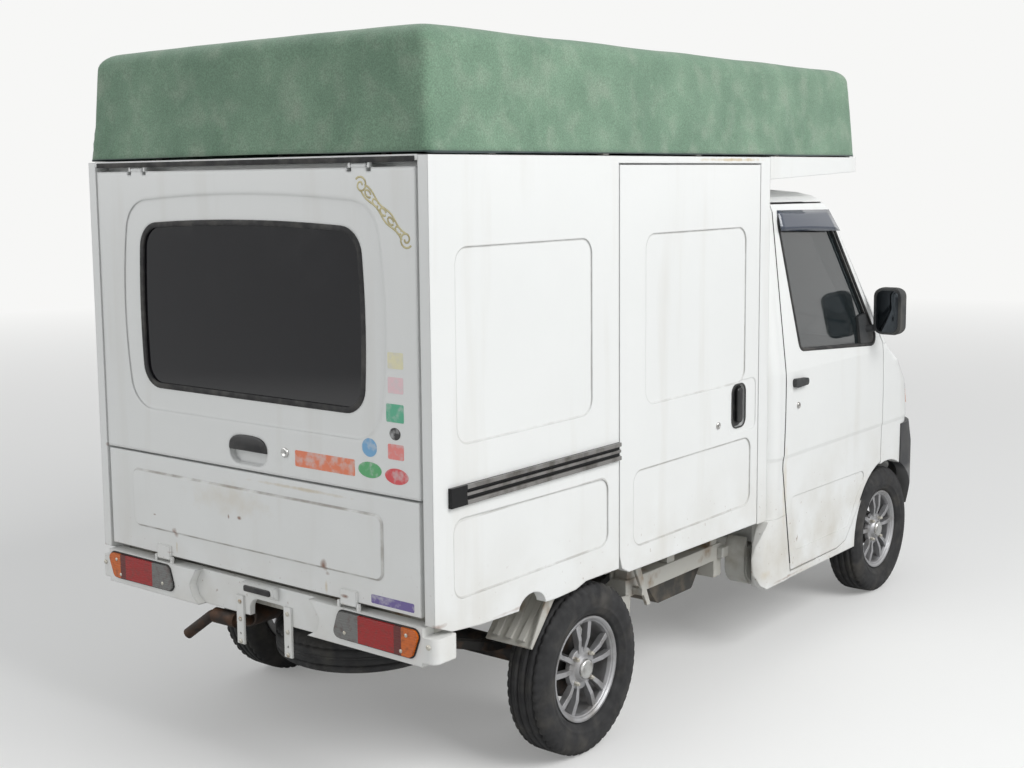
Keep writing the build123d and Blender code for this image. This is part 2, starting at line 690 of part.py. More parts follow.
def make_exhaust():
    """Pipe from the engine, silencer, and a tail that turns out from behind the valance."""
    pipe_x = 265.0
    front = engine_rear_y + 10.0
    end_y = valance_rear_y - 34.0
    route = [(pipe_x, front, 345), (pipe_x, rear_axle_y - 435, 345), (300, rear_axle_y - 175, 400),
             (300, rear_axle_y + 195, 402)]
    path = FilletPolyline(*route, radius=90)
    pipe = sweep(Plane(origin=route[0], z_dir=(0, 1, 0)) * Circle(18), path=path)
    pipe += rod((engine_half_width + seat_gap, engine_rear_y - 120, 345), (pipe_x, engine_rear_y - 120, 345), 18)
    pipe += rod((pipe_x, engine_rear_y - 132, 345), (pipe_x, front + 5, 345), 18)
    pipe += rod((300, rear_axle_y + 190, 402), (300, rear_axle_y + 515, 402), 58)
    tail_route = [(300, rear_axle_y + 505, 402), (60, end_y - 14, 452), (214, end_y, 455), (314, end_y + 22, 378)]
    tail_path = FilletPolyline(*tail_route, radius=34)
    start = Vector(*tail_route[1]) - Vector(*tail_route[0])
    pipe += sweep(Plane(origin=tail_route[0], z_dir=start) * Circle(17), path=tail_path)
    pipe += rod((112, end_y - 9, 453), (204, end_y - 1, 455), 24)
    pipe += block(290, 310, rear_axle_y + 345, rear_axle_y + 365, 455, 499.7)
    return pipe


def make_tanks():
    """Fuel tank under the floor, and the small round-bottomed tank at the cab corner, on the right."""
    y = cab_rear_y + 105.0
    fuel = prism_x([(y, 470), (y + 355, 470), (y + 355, 330), (y + 295, 262), (y + 55, 262), (y, 330)], -498, -270, 25)
    x = -side_member_outer_x - seat_gap
    y = cab_rear_y + 30.0
    small = prism_x(rect(y - 160, y, 256, 468), x - 86, x - 5, 78)
    small -= block(x - 100, x, y - 170, cab_rear_y + 5, cab_floor_z + 30, 480)
    small += prism_x(rect(y - 148, y - 12, 268, 400), x - 89, x - 80, 66)
    small += block(x - 20, x, y - 6, y + 50, 372, 410)
    return [fuel, small]


def make_spare():
    x, y, z = spare_centre
    half = spare_half_width
    profile = [(0, -18), (120, -18), (152, -40), (180, -half), (tyre_radius - 8, -half + 6), (tyre_radius, -half + 22),
               (tyre_radius, half - 22), (tyre_radius - 8, half - 6), (180, half), (152, 40), (120, 10), (0, 10)]
    face = Plane.XZ * make_face(Polyline(*profile, close=True))
    wheel = Pos(x, y, z) * revolve(face, axis=Axis.Z)
    carrier = block(x - 30, x + 30, y - 30, y + 30, z + 10, 470)
    beam = block(x - 30, x + 30, rear_axle_y + 275 + seat_gap, header_y - 30 - seat_gap, 470, 500)
    return wheel + carrier + beam


# Box
def post_feet():
    """Where the box's corner posts stand: inner and outer x, front and rear y."""
    front = box_front_y + 5.0
    return [(box_inner_x - post_width, box_inner_x, header_y, box_rear_y - 52.0),
            (box_inner_x - 40.0, box_inner_x, front, front + 40.0)]


def make_box_floor():
    """Steel load floor, notched round the posts, on its cross members, with the splash guards."""
    top = floor_top_z - floor_thickness
    wall_rear_y = box_front_y + 5.0 + front_wall_thickness
    deck = block(-box_inner_x, box_inner_x, wall_rear_y + seat_gap, box_rear_y - 49.0, top, floor_top_z)
    for x0, x1, y0, y1 in post_feet():
        for foot in both_sides(block(x0 - seat_gap, x1 + 5, y0 - seat_gap, y1 + seat_gap, top - 5, floor_top_z + 5)):
            deck -= foot
    pieces = [deck, block(-box_inner_x, box_inner_x, box_front_y, wall_rear_y + seat_gap, top, top + 5)]
    for y in (box_front_y + 37.0, cab_rear_y + 400.0, rear_axle_y - 475.0, rear_axle_y + 365.0, box_rear_y - 97.0):
        pieces.append(block(-box_inner_x, box_inner_x, y - 25, y + 25, post_top_z + seat_gap, top + 5))
    for y in (rear_axle_y - 215.0, rear_axle_y + 165.0):
        pieces.append(block(-555, 555, y - 20, y + 20, post_top_z + seat_gap, top + 5))
    low_y, high_y = rear_axle_y + 265.0, rear_axle_y + 90.0
    guard = prism_x([(low_y, 403), (high_y, top + 1), (high_y + 8, top + 1), (low_y + 5, 407)], 515, 690)
    guard += prism_x([(low_y, 403), (high_y, top + 1), (high_y + 66, top + 1), (low_y + 8, 410)], 684, 690)
    rib = [(low_y - 8, 418), (high_y + 4, top - 10), (high_y + 15, top - 10), (low_y + 3, 424)]
    for rib_x in (550.0, 600.0, 648.0):
        guard += prism_x(rib, rib_x - 11, rib_x + 11)
    pieces += both_sides(guard)
    return joined(pieces)


# Canvas sections: height, half width, front, rear
canvas_sections = [
    dict(z=frame_top_z + seat_gap, half=box_half_width + 4.0, front=canvas_front_y, rear=box_rear_y + 4.0),
    dict(z=2150.0, half=box_half_width - 19.0, front=canvas_front_y + 12.0, rear=box_rear_y - 19.0),
    dict(z=2188.0, half=box_half_width - 37.0, front=canvas_front_y + 25.0, rear=box_rear_y - 35.0),
    dict(z=canvas_top_z, half=box_half_width - 87.0, front=canvas_front_y + 70.0, rear=box_rear_y - 77.0),
]
drawn_canvases = {}


def canvas_form(inset):
    if inset not in drawn_canvases:
        sections = []
        for i, s in enumerate(canvas_sections):
            z = s["z"] - (inset if i else 0.0) - (20.0 if inset and not i else 0.0)
            half, y0, y1 = s["half"] - inset, s["front"] + inset, s["rear"] - inset
            sections.append(Plane.XY.offset(z) * outline([(half, y0), (half, y1), (-half, y1), (-half, y0)]))
        drawn_canvases[inset] = loft(sections, ruled=True)
    return drawn_canvases[inset]


def make_canvas():
    return canvas_form(0) - canvas_form(canvas_wall)


def make_bows():
    """Bent tubes that hold the canvas up, over the cab and over the box."""
    low = frame_top_z + seat_gap
    places = [canvas_front_y + 55.0, cab_rear_y - 50.0]
    places += [box_rear_y - 277.0 - bow_spacing * k for k in (2, 1, 0)]
    under = canvas_wall + 3
    bows = []
    for y in places:
        bow = canvas_form(under) & block(-900, 900, y - bow_size / 2, y + bow_size / 2, low, 2300)
        bows.append(bow - canvas_form(under + bow_size))
    return bows


def make_box_frame():
    """Posts, roof rails, rear header with the liftgate's hinges, and the front wall."""
    top = frame_top_z
    front = box_front_y + 5.0
    low = floor_top_z - floor_thickness + 5.0 + seat_gap
    pieces = []
    for x0, x1, y0, y1 in post_feet():
        pieces += both_sides(block(x0, x1, y0, y1, low, top))
    pieces += both_sides(block(box_inner_x - 35, box_inner_x, front, box_rear_y - 52, top - 40, top))
    pieces.append(block(-box_inner_x, box_inner_x, header_y, box_rear_y - 52, top - 70, top))
    pieces.append(block(-box_inner_x, box_inner_x, box_rear_y - 77, box_rear_y, gate_top_z + 16, top))
    reach = gate_barrel_length / 2 + hinge_play
    for x in (-gate_hinge_x, gate_hinge_x):
        for start in (x - reach - hinge_ear, x + reach):
            pieces.append(block(start, start + hinge_ear, gate_hinge_y - 6, box_rear_y, gate_hinge_z - 5, top - 10))
        pieces.append(rod((x - reach - hinge_ear, gate_hinge_y, gate_hinge_z),
                          (x + reach + hinge_ear, gate_hinge_y, gate_hinge_z), gate_pin_radius))
    wall = block(-box_inner_x, box_inner_x, front, front + front_wall_thickness, low, top)
    wall -= prism_y(rear_window_points, front - 5, front + front_wall_thickness + 5, 50)
    way = box_inner_x - 40
    wall -= block(-way, way, front - 5, front + front_wall_thickness + 5, board_low_rear_z + board_thickness, top + 5)
    pieces.append(wall)
    return joined(pieces)


def make_cab_board():
    """Board over the cab, with a low edge all round that the canvas comes down to."""
    rear = box_front_y + 5.0 - seat_gap
    front = canvas_front_y + 3.0
    top = frame_top_z
    length = [(rear, board_low_rear_z), (rear, top), (front, top), (front, board_low_front_z)]
    tray = prism_x(length, -box_half_width, box_half_width)
    tray -= both_sides(block(box_inner_x, 900, box_front_y - seat_gap, rear + 1, 1700, 1900))[0]
    tray -= both_sides(block(box_inner_x, 900, box_front_y - seat_gap, rear + 1, 1700, 1900))[1]
    well = [(rear + 1, board_low_rear_z + board_thickness), (rear + 1, top + 10), (front + board_side, top + 10),
            (front + board_side, board_low_front_z + board_thickness)]
    tray -= prism_x(well, -box_half_width + board_side, box_half_width - board_side)
    return tray


# Sides of the box, drawn for the left
def pressed(panel, points, radius, depth=press_depth):
    """The panel with a shallow pressing of that outline in its outer face."""
    return panel - prism_x(points, box_half_width - depth, box_half_width + 1, radius)


def make_side_panels():
    """Front strip, roof rail over the slide door and the quarter panel, on each side."""
    x0, x1 = box_half_width - box_wall, box_half_width
    door_edge = slide_door_rear_y + panel_gap
    low = [(box_rear_y, 602), (box_rear_y - 70, 574), (box_rear_y - 193, 562), (rear_axle_y + 186, box_low_z),
           (rear_axle_y + 90, box_low_z + 3), (rear_axle_y + 38, box_low_z + 17), (door_edge, box_low_z + 15)]
    panel = prism_x([(door_edge, box_top_z), (box_rear_y, box_top_z)] + low, x0, x1)
    notch = Plane.YZ.offset(x0 - 5) * Pos(rear_axle_y + 310, 546) * Ellipse(66, 50)
    panel -= extrude(notch, amount=box_wall + 10)
    panel += prism_x(rect(box_front_y, slide_door_front_y - panel_gap, 524, box_top_z), x0, x1)
    panel += prism_x(rect(box_front_y, door_edge + 5, slide_door_top_z + panel_gap, box_top_z), x0, x1)
    blank_rear = box_rear_y - 103.0
    panel = pressed(panel, [(door_edge + 145, blank_top_z), (blank_rear, blank_top_z), (blank_rear, 1080),
                            (door_edge + 145, 1080)], 48)
    panel = pressed(panel, [(door_edge + 60, 868), (blank_rear + 20, 880), (blank_rear + 20, 655),
                            (rear_axle_y + 400, 655), (door_edge + 60, 655)], 40)
    return both_sides(panel)


def make_slide_doors():
    """Sliding side doors, shut, with their pressed blanks and the cup behind the handle."""
    x0, x1 = box_half_width - box_wall, box_half_width
    front, rear, low = slide_door_front_y, slide_door_rear_y, slide_door_low_z
    door = prism_x([(front, slide_door_top_z), (rear, slide_door_top_z), (rear, low + 60), (rear - 14, low + 20),
                    (rear - 52, low), (front, low - 12)], x0, x1)
    inset = 98.0
    door = pressed(door, [(front + inset, blank_top_z), (rear - 150, blank_top_z), (rear - 150, side_belt_z),
                          (front + inset, side_belt_z)], 50)
    door = pressed(door, [(front + 52, lower_press_z), (rear - 79, lower_press_z), (rear - 79, low + 75),
                          (front + 52, low + 70)], 45)
    cup_front, cup_rear = front + 94.0, front + 187.0
    door = pressed(door, rect(cup_front - 76, cup_rear + 21, 889, 1075), 28, 2.0)
    door = pressed(door, rect(cup_front, cup_rear, 909, 1061), 30, 18.0)
    return both_sides(door)


def make_slide_rails():
    """Grooved rail along the quarter panel that carries the slide door's rear arm."""
    x0 = box_half_width + seat_gap
    y0, y1 = slide_door_rear_y + 8, box_rear_y - 62
    half = rail_height / 2
    profile = [(x0, rail_z - half), (x0 + 12, rail_z - half), (x0 + 12, rail_z - half + 12), (x0 + 4, rail_z - half + 14),
               (x0 + 4, rail_z - 6), (x0 + 10, rail_z - 4), (x0 + 10, rail_z + 4), (x0 + 4, rail_z + 6),
               (x0 + 4, rail_z + half - 14), (x0 + 12, rail_z + half - 12), (x0 + 12, rail_z + half),
               (x0, rail_z + half)]
    rail = prism_y(profile, y0, y1)
    rail += prism_x(rect(y1 - 66, y1, rail_z - half, rail_z + half), x0, x0 + 12, 8)
    return both_sides(rail)


# Rear end
# Half widths of the liftgate's glass and of the pressing round it: at the top, middle and
# bottom of the curved sides, with those three heights, the crown of the top edge and the corner radius
gate_glass_shape = dict(widths=(470, 485, 474), heights=(1664, 1400, 1159), crown=16.0, corner=66.0)
gate_press_shape = dict(widths=(530, 566, 532), heights=(1735, 1400, 1085), crown=26.0, corner=105.0)
scoop_points = [(250, 600), (285, 545), (268, 508), (225, 478), (-225, 478), (-280, 508), (-297, 545), (-252, 600)]
lamp_outline = [(690, 590), (658, 507), (352, 510), (378, 590)]


def gate_face(shape, grow=0.0):
    """Outline with bowed sides and top, for the liftgate's glass and pressing."""
    top, mid, low = [width + grow for width in shape["widths"]]
    top_z, mid_z, low_z = shape["heights"]
    top_z, low_z = top_z + grow, low_z - grow
    face = make_face([
        ThreePointArc((top, top_z), (mid, mid_z), (low, low_z)),
        Line((low, low_z), (-low, low_z)),
        ThreePointArc((-low, low_z), (-mid, mid_z), (-top, top_z)),
        ThreePointArc((-top, top_z), (0, top_z + shape["crown"]), (top, top_z)),
    ])
    return fillet(face.vertices(), shape["corner"])


def gate_prism(shape, y0, y1, grow=0.0):
    return extrude(Plane.XZ.offset(-y0) * gate_face(shape, grow), amount=y0 - y1)


def make_liftgate():
    low_y = box_rear_y - gate_thickness
    out_y = box_rear_y + 10
    panel = prism_y(rect(-gate_half_width, gate_half_width, gate_low_z, gate_top_z), low_y, box_rear_y)
    panel -= gate_prism(gate_press_shape, box_rear_y - press_depth, out_y)
    panel -= gate_prism(gate_glass_shape, low_y - 10, out_y)
    panel -= prism_y(rect(-82, 82, 960, 1043), box_rear_y - 20, out_y, 38)
    half = gate_barrel_length / 2
    notch = half + hinge_play + hinge_ear + panel_gap
    for x in (-gate_hinge_x, gate_hinge_x):
        for x0, x1 in ((x - notch, x - half), (x + half, x + notch)):
            panel -= block(x0, x1, low_y - 1, box_rear_y + 1, gate_hinge_z - 15, gate_top_z + 1)
        start = (x - half, gate_hinge_y, gate_hinge_z)
        end = (x + half, gate_hinge_y, gate_hinge_z)
        panel += rod(start, end, gate_barrel_radius)
        panel -= rod(start, end, gate_pin_radius + pin_clearance)
    return panel


def make_gate_glass():
    face_y = box_rear_y - gate_glass_depth
    return gate_prism(gate_glass_shape, face_y - gate_glass_thickness, face_y, -seat_gap)


def make_tailgate():
    half = gate_half_width - 6
    panel = prism_y(rect(-half, half, tailgate_low_z, tailgate_top_z), box_rear_y - tailgate_thickness, box_rear_y)
    raised = prism_y(rect(-543, 560, 697, 884), box_rear_y - 1, box_rear_y + tailgate_raise, 28)
    raised = chamfer(raised.faces().sort_by(Axis.Y)[-1].edges(), tailgate_raise - 1)
    panel += raised
    reach = tailgate_barrel_length / 2
    leaf_top = tailgate_hinge_z + 40
    for x in (-tailgate_hinge_x, tailgate_hinge_x):
        start = (x - reach, tailgate_hinge_y, tailgate_hinge_z)
        end = (x + reach, tailgate_hinge_y, tailgate_hinge_z)
        panel += rod(start, end, tailgate_barrel_radius)
        panel += block(x - reach, x + reach, box_rear_y - 3, tailgate_hinge_y + 5, tailgate_hinge_z, leaf_top)
        panel -= rod(start, end, tailgate_pin_radius + pin_clearance)
    return panel


def make_valance():
    """Panel under the tailgate, scooped for the plate, with its strips, lamp box and corner caps."""
    front = valance_rear_y - valance_thickness
    scoop_y = valance_rear_y - scoop_depth
    half = box_half_width - 37
    panel = prism_y(rect(-half, half, valance_low_z, valance_top_z), front, valance_rear_y)
    for corner in both_sides(block(half, box_half_width + 8, front - 40, valance_rear_y, 500, 570)):
        panel += corner
    panel = fillet(panel.edges().filter_by(Axis.Z).filter_by(lambda e: abs(e.center().X) > half + 30
                                                             and e.center().Y > front + 10), 24)
    panel -= prism_y(scoop_points, scoop_y, valance_rear_y + 5, 24)
    panel -= prism_y(rect(-138, 34, valance_low_z - 60, 544), front - 5, valance_rear_y + 5, 38)
    panel += prism_x([(scoop_y, 600), (valance_rear_y - 2, 596), (valance_rear_y - 6, 570), (scoop_y, 556)], -97, 41)
    for lamp in both_sides(prism_y(lamp_outline, valance_rear_y - lamp_depth, valance_rear_y + 5, 20)):
        panel -= lamp
    panel += block(-rear_rail_outer_x, rear_rail_outer_x, front - 50, front + 5, 548, 575)
    reach = tailgate_barrel_length / 2
    for x in (-tailgate_hinge_x, tailgate_hinge_x):
        for start in (x - reach - 12, x + reach + 2):
            panel += block(start, start + 10, box_rear_y + 0.5, tailgate_hinge_y + 6, 590, tailgate_hinge_z + 6)
        panel += rod((x - reach - 12, tailgate_hinge_y, tailgate_hinge_z),
                     (x + reach + 12, tailgate_hinge_y, tailgate_hinge_z), tailgate_pin_radius)
    for dx in (-plate_spacing / 2, plate_spacing / 2):
        x = plate_centre_x + dx
        strip = block(x - 16, x + 16, scoop_y - 1, scoop_y + strip_thickness, 392, 545)
        strip -= Pos(x, scoop_y, plate_hole_z) * Rot(90, 0, 0) * Cylinder(plate_hole_radius, 30)
        panel += strip
    return panel


def make_tail_lamps():
    back_y = valance_rear_y - lamp_depth + seat_gap
    return both_sides(prism_y(lamp_outline, back_y, rear_y, 20, -1.5))


parts["chassis_frame"] = make_chassis()
parts["rear_axle"] = make_rear_axle()
parts["front_subframe"] = make_front_subframe()
parts["engine_block"] = make_engine()
parts["drive_shaft"] = make_drive_shaft()
parts["exhaust"] = make_exhaust()
parts["tanks"] = make_tanks()
parts["spare_wheel"] = make_spare()
for end, axle_y in (("front", front_axle_y), ("rear", rear_axle_y)):
    for name, side in (("left", 1), ("right", -1)):
        place = Pos(side * tyre_centre_x, axle_y, tyre_radius)
        parts[f"tyre_{end}_{name}"] = make_tyre(side * tyre_centre_x, axle_y)
        parts[f"rim_{end}_{name}"] = place * make_rim(side)
for name, side in (("left", 1), ("right", -1)):
    parts[f"knuckle_{name}"] = make_knuckle(side)
    parts[f"cab_door_{name}"] = make_door(side)
    parts[f"door_glass_{name}"] = make_door_glass(side)
    parts[f"door_fittings_{name}"] = make_door_fittings(side)
parts["cab_shell"] = make_cab_shell()
parts["cab_front"] = make_cab_front()
parts["cab_sills"] = make_cab_sills()
parts["cab_floor"] = make_cab_floor()
parts["seat_riser"] = make_seat_riser()
parts["cab_glass"] = make_cab_glass()
parts["dashboard"] = make_dashboard()
parts["seats"] = make_seats()
parts["steering_wheel"] = make_steering_wheel()
parts["front_bumper"] = make_bumper()
parts["headlamps"] = make_headlamps()
parts["box_floor"] = make_box_floor()
parts["box_frame"] = make_box_frame()
parts["side_panels"] = make_side_panels()
parts["slide_doors"] = make_slide_doors()
parts["slide_rails"] = make_slide_rails()
parts["cab_board"] = make_cab_board()
parts["liftgate_panel"] = make_liftgate()
parts["liftgate_glass"] = make_gate_glass()
parts["tailgate"] = make_tailgate()
parts["rear_valance"] = make_valance()
parts["tail_lamps"] = make_tail_lamps()
parts["canvas_top"] = make_canvas()
parts["canvas_bows"] = make_bows()

os.makedirs("parts", exist_ok=True)
for name, shape in parts.items():
    solids = shape if isinstance(shape, list) else [shape]
    whole = Compound(children=[s for item in solids for s in item.solids()])
    export_step(whole, f"parts/{name}.step")
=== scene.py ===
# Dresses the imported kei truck: paint with dirt and rust, canvas, tyres, lamps, trim, seats
import json
import math

import bmesh
import bpy
from mathutils import Matrix, Vector, noise
from mathutils.bvhtree import BVHTree


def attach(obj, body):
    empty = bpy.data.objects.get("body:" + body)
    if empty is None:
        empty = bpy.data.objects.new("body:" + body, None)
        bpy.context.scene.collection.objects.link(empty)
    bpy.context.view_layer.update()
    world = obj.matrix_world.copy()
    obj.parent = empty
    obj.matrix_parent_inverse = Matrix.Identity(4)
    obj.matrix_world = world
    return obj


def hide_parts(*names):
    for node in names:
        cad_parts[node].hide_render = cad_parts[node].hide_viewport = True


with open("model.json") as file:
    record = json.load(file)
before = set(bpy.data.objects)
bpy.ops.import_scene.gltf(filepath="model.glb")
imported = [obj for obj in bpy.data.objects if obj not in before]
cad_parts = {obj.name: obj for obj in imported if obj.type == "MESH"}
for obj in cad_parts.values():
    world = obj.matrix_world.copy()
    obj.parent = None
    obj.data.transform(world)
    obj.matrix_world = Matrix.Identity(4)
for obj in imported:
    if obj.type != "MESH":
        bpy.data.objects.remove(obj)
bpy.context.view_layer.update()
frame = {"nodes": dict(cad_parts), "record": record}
nodes = frame["nodes"]
slotOf = {part["node"]: part["material_slot"] for part in frame["record"]["subparts"]}
print("frame loaded,", len(nodes), "nodes")

# View, floor and light
viewSetup = {
    "place": (-3.1347, 4.4111, 1.7975), "yaw": 140.82, "pitch": -6.88, "roll": -0.66,
    "lens": 49.33, "shift": (0.0276, -0.0358),
}
lightSetup = {
    "skyTint": (0.96, 0.98, 1.0), "skyStrength": 0.42,
    "keyEnergy": 520, "keyPlace": (-6.8, 0.6, 6.0), "keySize": 5.0,
    "fillEnergy": 150, "fillPlace": (4.0, 7.0, 4.5), "fillSize": 6.0,
    "floorTint": (0.66, 0.66, 0.65), "floorSeen": (0.90, 0.90, 0.89), "floorHalf": 60,
    "backdrop": (0.93, 0.93, 0.92), "floorGlow": (0.22, 1.0), "glowReach": (3.0, 16.0),
}


def makeCamera():
    yaw, pitch, roll = (math.radians(viewSetup[key]) for key in ("yaw", "pitch", "roll"))
    ahead = Vector((math.sin(yaw) * math.cos(pitch), math.cos(yaw) * math.cos(pitch), math.sin(pitch)))
    right = Vector((math.cos(yaw), -math.sin(yaw), 0))
    up = right.cross(ahead)
    turnedRight = right * math.cos(roll) + up * math.sin(roll)
    turnedUp = up * math.cos(roll) - right * math.sin(roll)
    data = bpy.data.cameras.new("photoView")
    data.sensor_width, data.lens = 36, viewSetup["lens"]
    data.shift_x, data.shift_y = viewSetup["shift"]
    camera = bpy.data.objects.new("photoView", data)
    bpy.context.scene.collection.objects.link(camera)
    turn = Matrix((turnedRight, turnedUp, -ahead)).transposed().to_4x4()
    camera.matrix_world = Matrix.Translation(Vector(viewSetup["place"])) @ turn
    bpy.context.scene.camera = camera


def makeLight(name, place, energy, size):
    data = bpy.data.lights.new(name, "AREA")
    data.energy, data.size = energy, size
    lamp = bpy.data.objects.new(name, data)
    bpy.context.scene.collection.objects.link(lamp)
    lamp.location = place
    lamp.rotation_euler = (Vector((0, 0, 0.8)) - Vector(place)).to_track_quat("-Z", "Y").to_euler()


# Node helpers
def addNode(tree, kind, inputs=None, **settings):
    made = tree.nodes.new(kind)
    for key, value in settings.items():
        setattr(made, key, value)
    for key, value in (inputs or {}).items():
        if isinstance(value, bpy.types.NodeSocket):
            tree.links.new(value, made.inputs[key])
        else:
            made.inputs[key].default_value = value
    return made


def maths(tree, operation, first, second=0.0, clamp=False):
    return addNode(tree, "ShaderNodeMath", {0: first, 1: second}, operation=operation,
                   use_clamp=clamp).outputs[0]


def times(tree, first, second):
    return maths(tree, "MULTIPLY", first, second)


def axesOf(tree, coords):
    return addNode(tree, "ShaderNodeSeparateXYZ", {0: coords}).outputs


def paint(tree, shader, colour):
    tree.links.new(colour, shader.inputs["Base Color"])


def mixColour(tree, factor, first, second, mode="MIX"):
    first, second = (colour if isinstance(colour, bpy.types.NodeSocket) else (*colour, 1)
                     for colour in (first, second))
    inputs = {0: factor, 6: first, 7: second}
    return addNode(tree, "ShaderNodeMix", inputs, data_type="RGBA", blend_type=mode).outputs[2]


def ramp(tree, value, low, high, start=0.0, end=1.0):
    inputs = {"Value": value, "From Min": low, "From Max": high, "To Min": start, "To Max": end}
    return addNode(tree, "ShaderNodeMapRange", inputs).outputs[0]


def noiseAt(tree, coords, scale, detail=4.0, stretch=(1, 1, 1)):
    moved = addNode(tree, "ShaderNodeMapping", {"Vector": coords, "Scale": stretch}).outputs[0]
    inputs = {"Vector": moved, "Scale": scale, "Detail": detail}
    return addNode(tree, "ShaderNodeTexNoise", inputs).outputs[0]


def patches(tree, coords, grain, *span):
    # Noise of that scale and detail, ramped over a span
    return ramp(tree, noiseAt(tree, coords, *grain), *span)


def waves(tree, coords, scale, direction):
    inputs = {"Vector": coords, "Scale": scale}
    return addNode(tree, "ShaderNodeTexWave", inputs, bands_direction=direction).outputs["Fac"]


def spot(tree, coords, centre, size, rag, grain):
    scale = [1 / s for s in size]
    shift = [-c / s for c, s in zip(centre, size)]
    near = addNode(tree, "ShaderNodeMapping",
                   {"Vector": coords, "Scale": scale, "Location": shift}).outputs[0]
    reach = addNode(tree, "ShaderNodeVectorMath", {0: near}, operation="LENGTH").outputs["Value"]
    rough = maths(tree, "MULTIPLY_ADD", noiseAt(tree, coords, grain), rag * 2)
    reach = maths(tree, "ADD", reach, maths(tree, "SUBTRACT", rough, rag))
    return ramp(tree, reach, 1.0, 0.55)


def newFinish(name, tint, roughness, metallic=0.0, **sockets):
    made = bpy.data.materials.new(name)
    made.use_nodes = True
    tree = made.node_tree
    shader = tree.nodes["Principled BSDF"]
    shader.inputs["Base Color"].default_value = (*tint, 1)
    shader.inputs["Roughness"].default_value = roughness
    shader.inputs["Metallic"].default_value = metallic
    for key, value in sockets.items():
        shader.inputs[key.replace("_", " ")].default_value = value
    coords = tree.nodes.new("ShaderNodeTexCoord").outputs["Object"]
    return made, tree, shader, coords


def bumpFrom(tree, shader, height, strength, distance, edge=0.0):
    inputs = {"Height": height, "Strength": strength, "Distance": distance}
    if edge:
        inputs["Normal"] = addNode(tree, "ShaderNodeBevel", {"Radius": edge}, samples=4).outputs[0]
    tree.links.new(addNode(tree, "ShaderNodeBump", inputs).outputs[0], shader.inputs["Normal"])


def mottled(name, tint, second, roughness, metallic=0.0, scale=8.0, spread=(0.45, 0.62), grain=90.0,
            bump=0.15, depth=0.002, edge=0.0, stretch=(1, 1, 1), **sockets):
    made, tree, shader, coords = newFinish(name, tint, roughness, metallic, **sockets)
    worn = patches(tree, coords, (scale, 6.0, stretch), *spread)
    paint(tree, shader, mixColour(tree, worn, tint, second))
    fine = noiseAt(tree, coords, grain, 3.0)
    rough = patches(tree, coords, (scale * 2.3, 4.0), 0.3, 0.7, roughness * 0.85, min(1, roughness * 1.2))
    tree.links.new(rough, shader.inputs["Roughness"])
    bumpFrom(tree, shader, fine, bump, depth, edge)
    return made


# Paint of the body: grey-white enamel with road film, streaks and rust where the photo has them
bodyPaint = {
    "tint": (0.80, 0.81, 0.80), "film": (0.42, 0.36, 0.26), "rust": (0.20, 0.075, 0.028),
    "stain": (0.50, 0.36, 0.14), "foldDirt": (0.13, 0.095, 0.06),
    "filmTop": 0.95, "filmSpan": (0.40, 0.0, 0.85), "filmDepth": 0.55, "filmRoughness": 0.72,
    "cloudSpan": (0.35, 0.7, 0.0, 0.10), "streakSpan": (0.56, 0.74, 0.0, 0.13), "patchSpan": (0.38, 0.68),
    "speckSpan": (0.70, 0.76), "speckDepth": 0.8, "unevenSpan": (0.38, 0.62, 0.25, 1.0),
    "roughness": 0.32, "edge": 0.006, "softEdge": 0.016,
}
# Centre, size and strength of each stain, and whether it is rust
stains = [
    ((0.351, 1.69, 0.697), (0.030, 0.05, 0.042), 1.0, True),
    ((0.352, 1.69, 0.650), (0.014, 0.05, 0.050), 0.9, False),
    ((-0.313, 1.69, 0.706), (0.028, 0.05, 0.044), 1.0, True),
    ((-0.322, 1.69, 0.683), (0.028, 0.05, 0.018), 1.0, True),
    ((-0.316, 1.69, 0.648), (0.015, 0.05, 0.055), 0.8, False),
    ((-0.398, 1.69, 0.632), (0.035, 0.05, 0.012), 0.9, True),
    ((0.380, 1.69, 0.632), (0.035, 0.05, 0.010), 0.6, True),
    ((0.09, 1.69, 0.845), (0.42, 0.05, 0.120), 0.20, False),
    ((0.092, 1.69, 0.790), (0.010, 0.05, 0.018), 1.0, True),
    ((0.045, 1.69, 0.792), (0.022, 0.05, 0.014), 1.0, True),
    ((-0.20, 1.69, 0.915), (0.52, 0.05, 0.014), 0.65, False),
    ((0.45, 1.69, 0.745), (0.018, 0.05, 0.007), 0.9, True),
    ((-0.735, 1.66, 0.600), (0.05, 0.08, 0.022), 0.9, True),
    ((0.735, 1.66, 0.600), (0.06, 0.08, 0.022), 0.8, True),
    ((0.735, 1.66, 1.30), (0.016, 0.06, 0.70), 0.55, False),
    ((-0.735, 1.69, 1.55), (0.010, 0.05, 0.45), 0.55, False),
    ((0.690, 1.69, 0.945), (0.030, 0.05, 0.018), 0.9, True),
    ((-0.735, -0.15, 0.32), (0.05, 0.14, 0.05), 0.35, False),
    ((0.735, -0.15, 0.32), (0.05, 0.14, 0.05), 0.35, False),
    ((-0.735, -0.36, 0.272), (0.06, 0.26, 0.012), 0.55, True),
    ((-0.72, 0.10, 1.850), (0.05, 0.50, 0.014), 0.85, False),
    ((0.72, 0.30, 1.850), (0.05, 0.60, 0.014), 0.7, False),
    ((-0.735, 1.30, 0.566), (0.05, 0.30, 0.010), 0.4, True),
    ((0.735, 1.12, 0.566), (0.05, 0.28, 0.012), 0.45, True),
    ((0.02, 1.69, 0.565), (0.10, 0.05, 0.035), 0.4, False),
    ((-0.735, -0.325, 0.62), (0.05, 0.045, 0.36), 0.30, False),
]
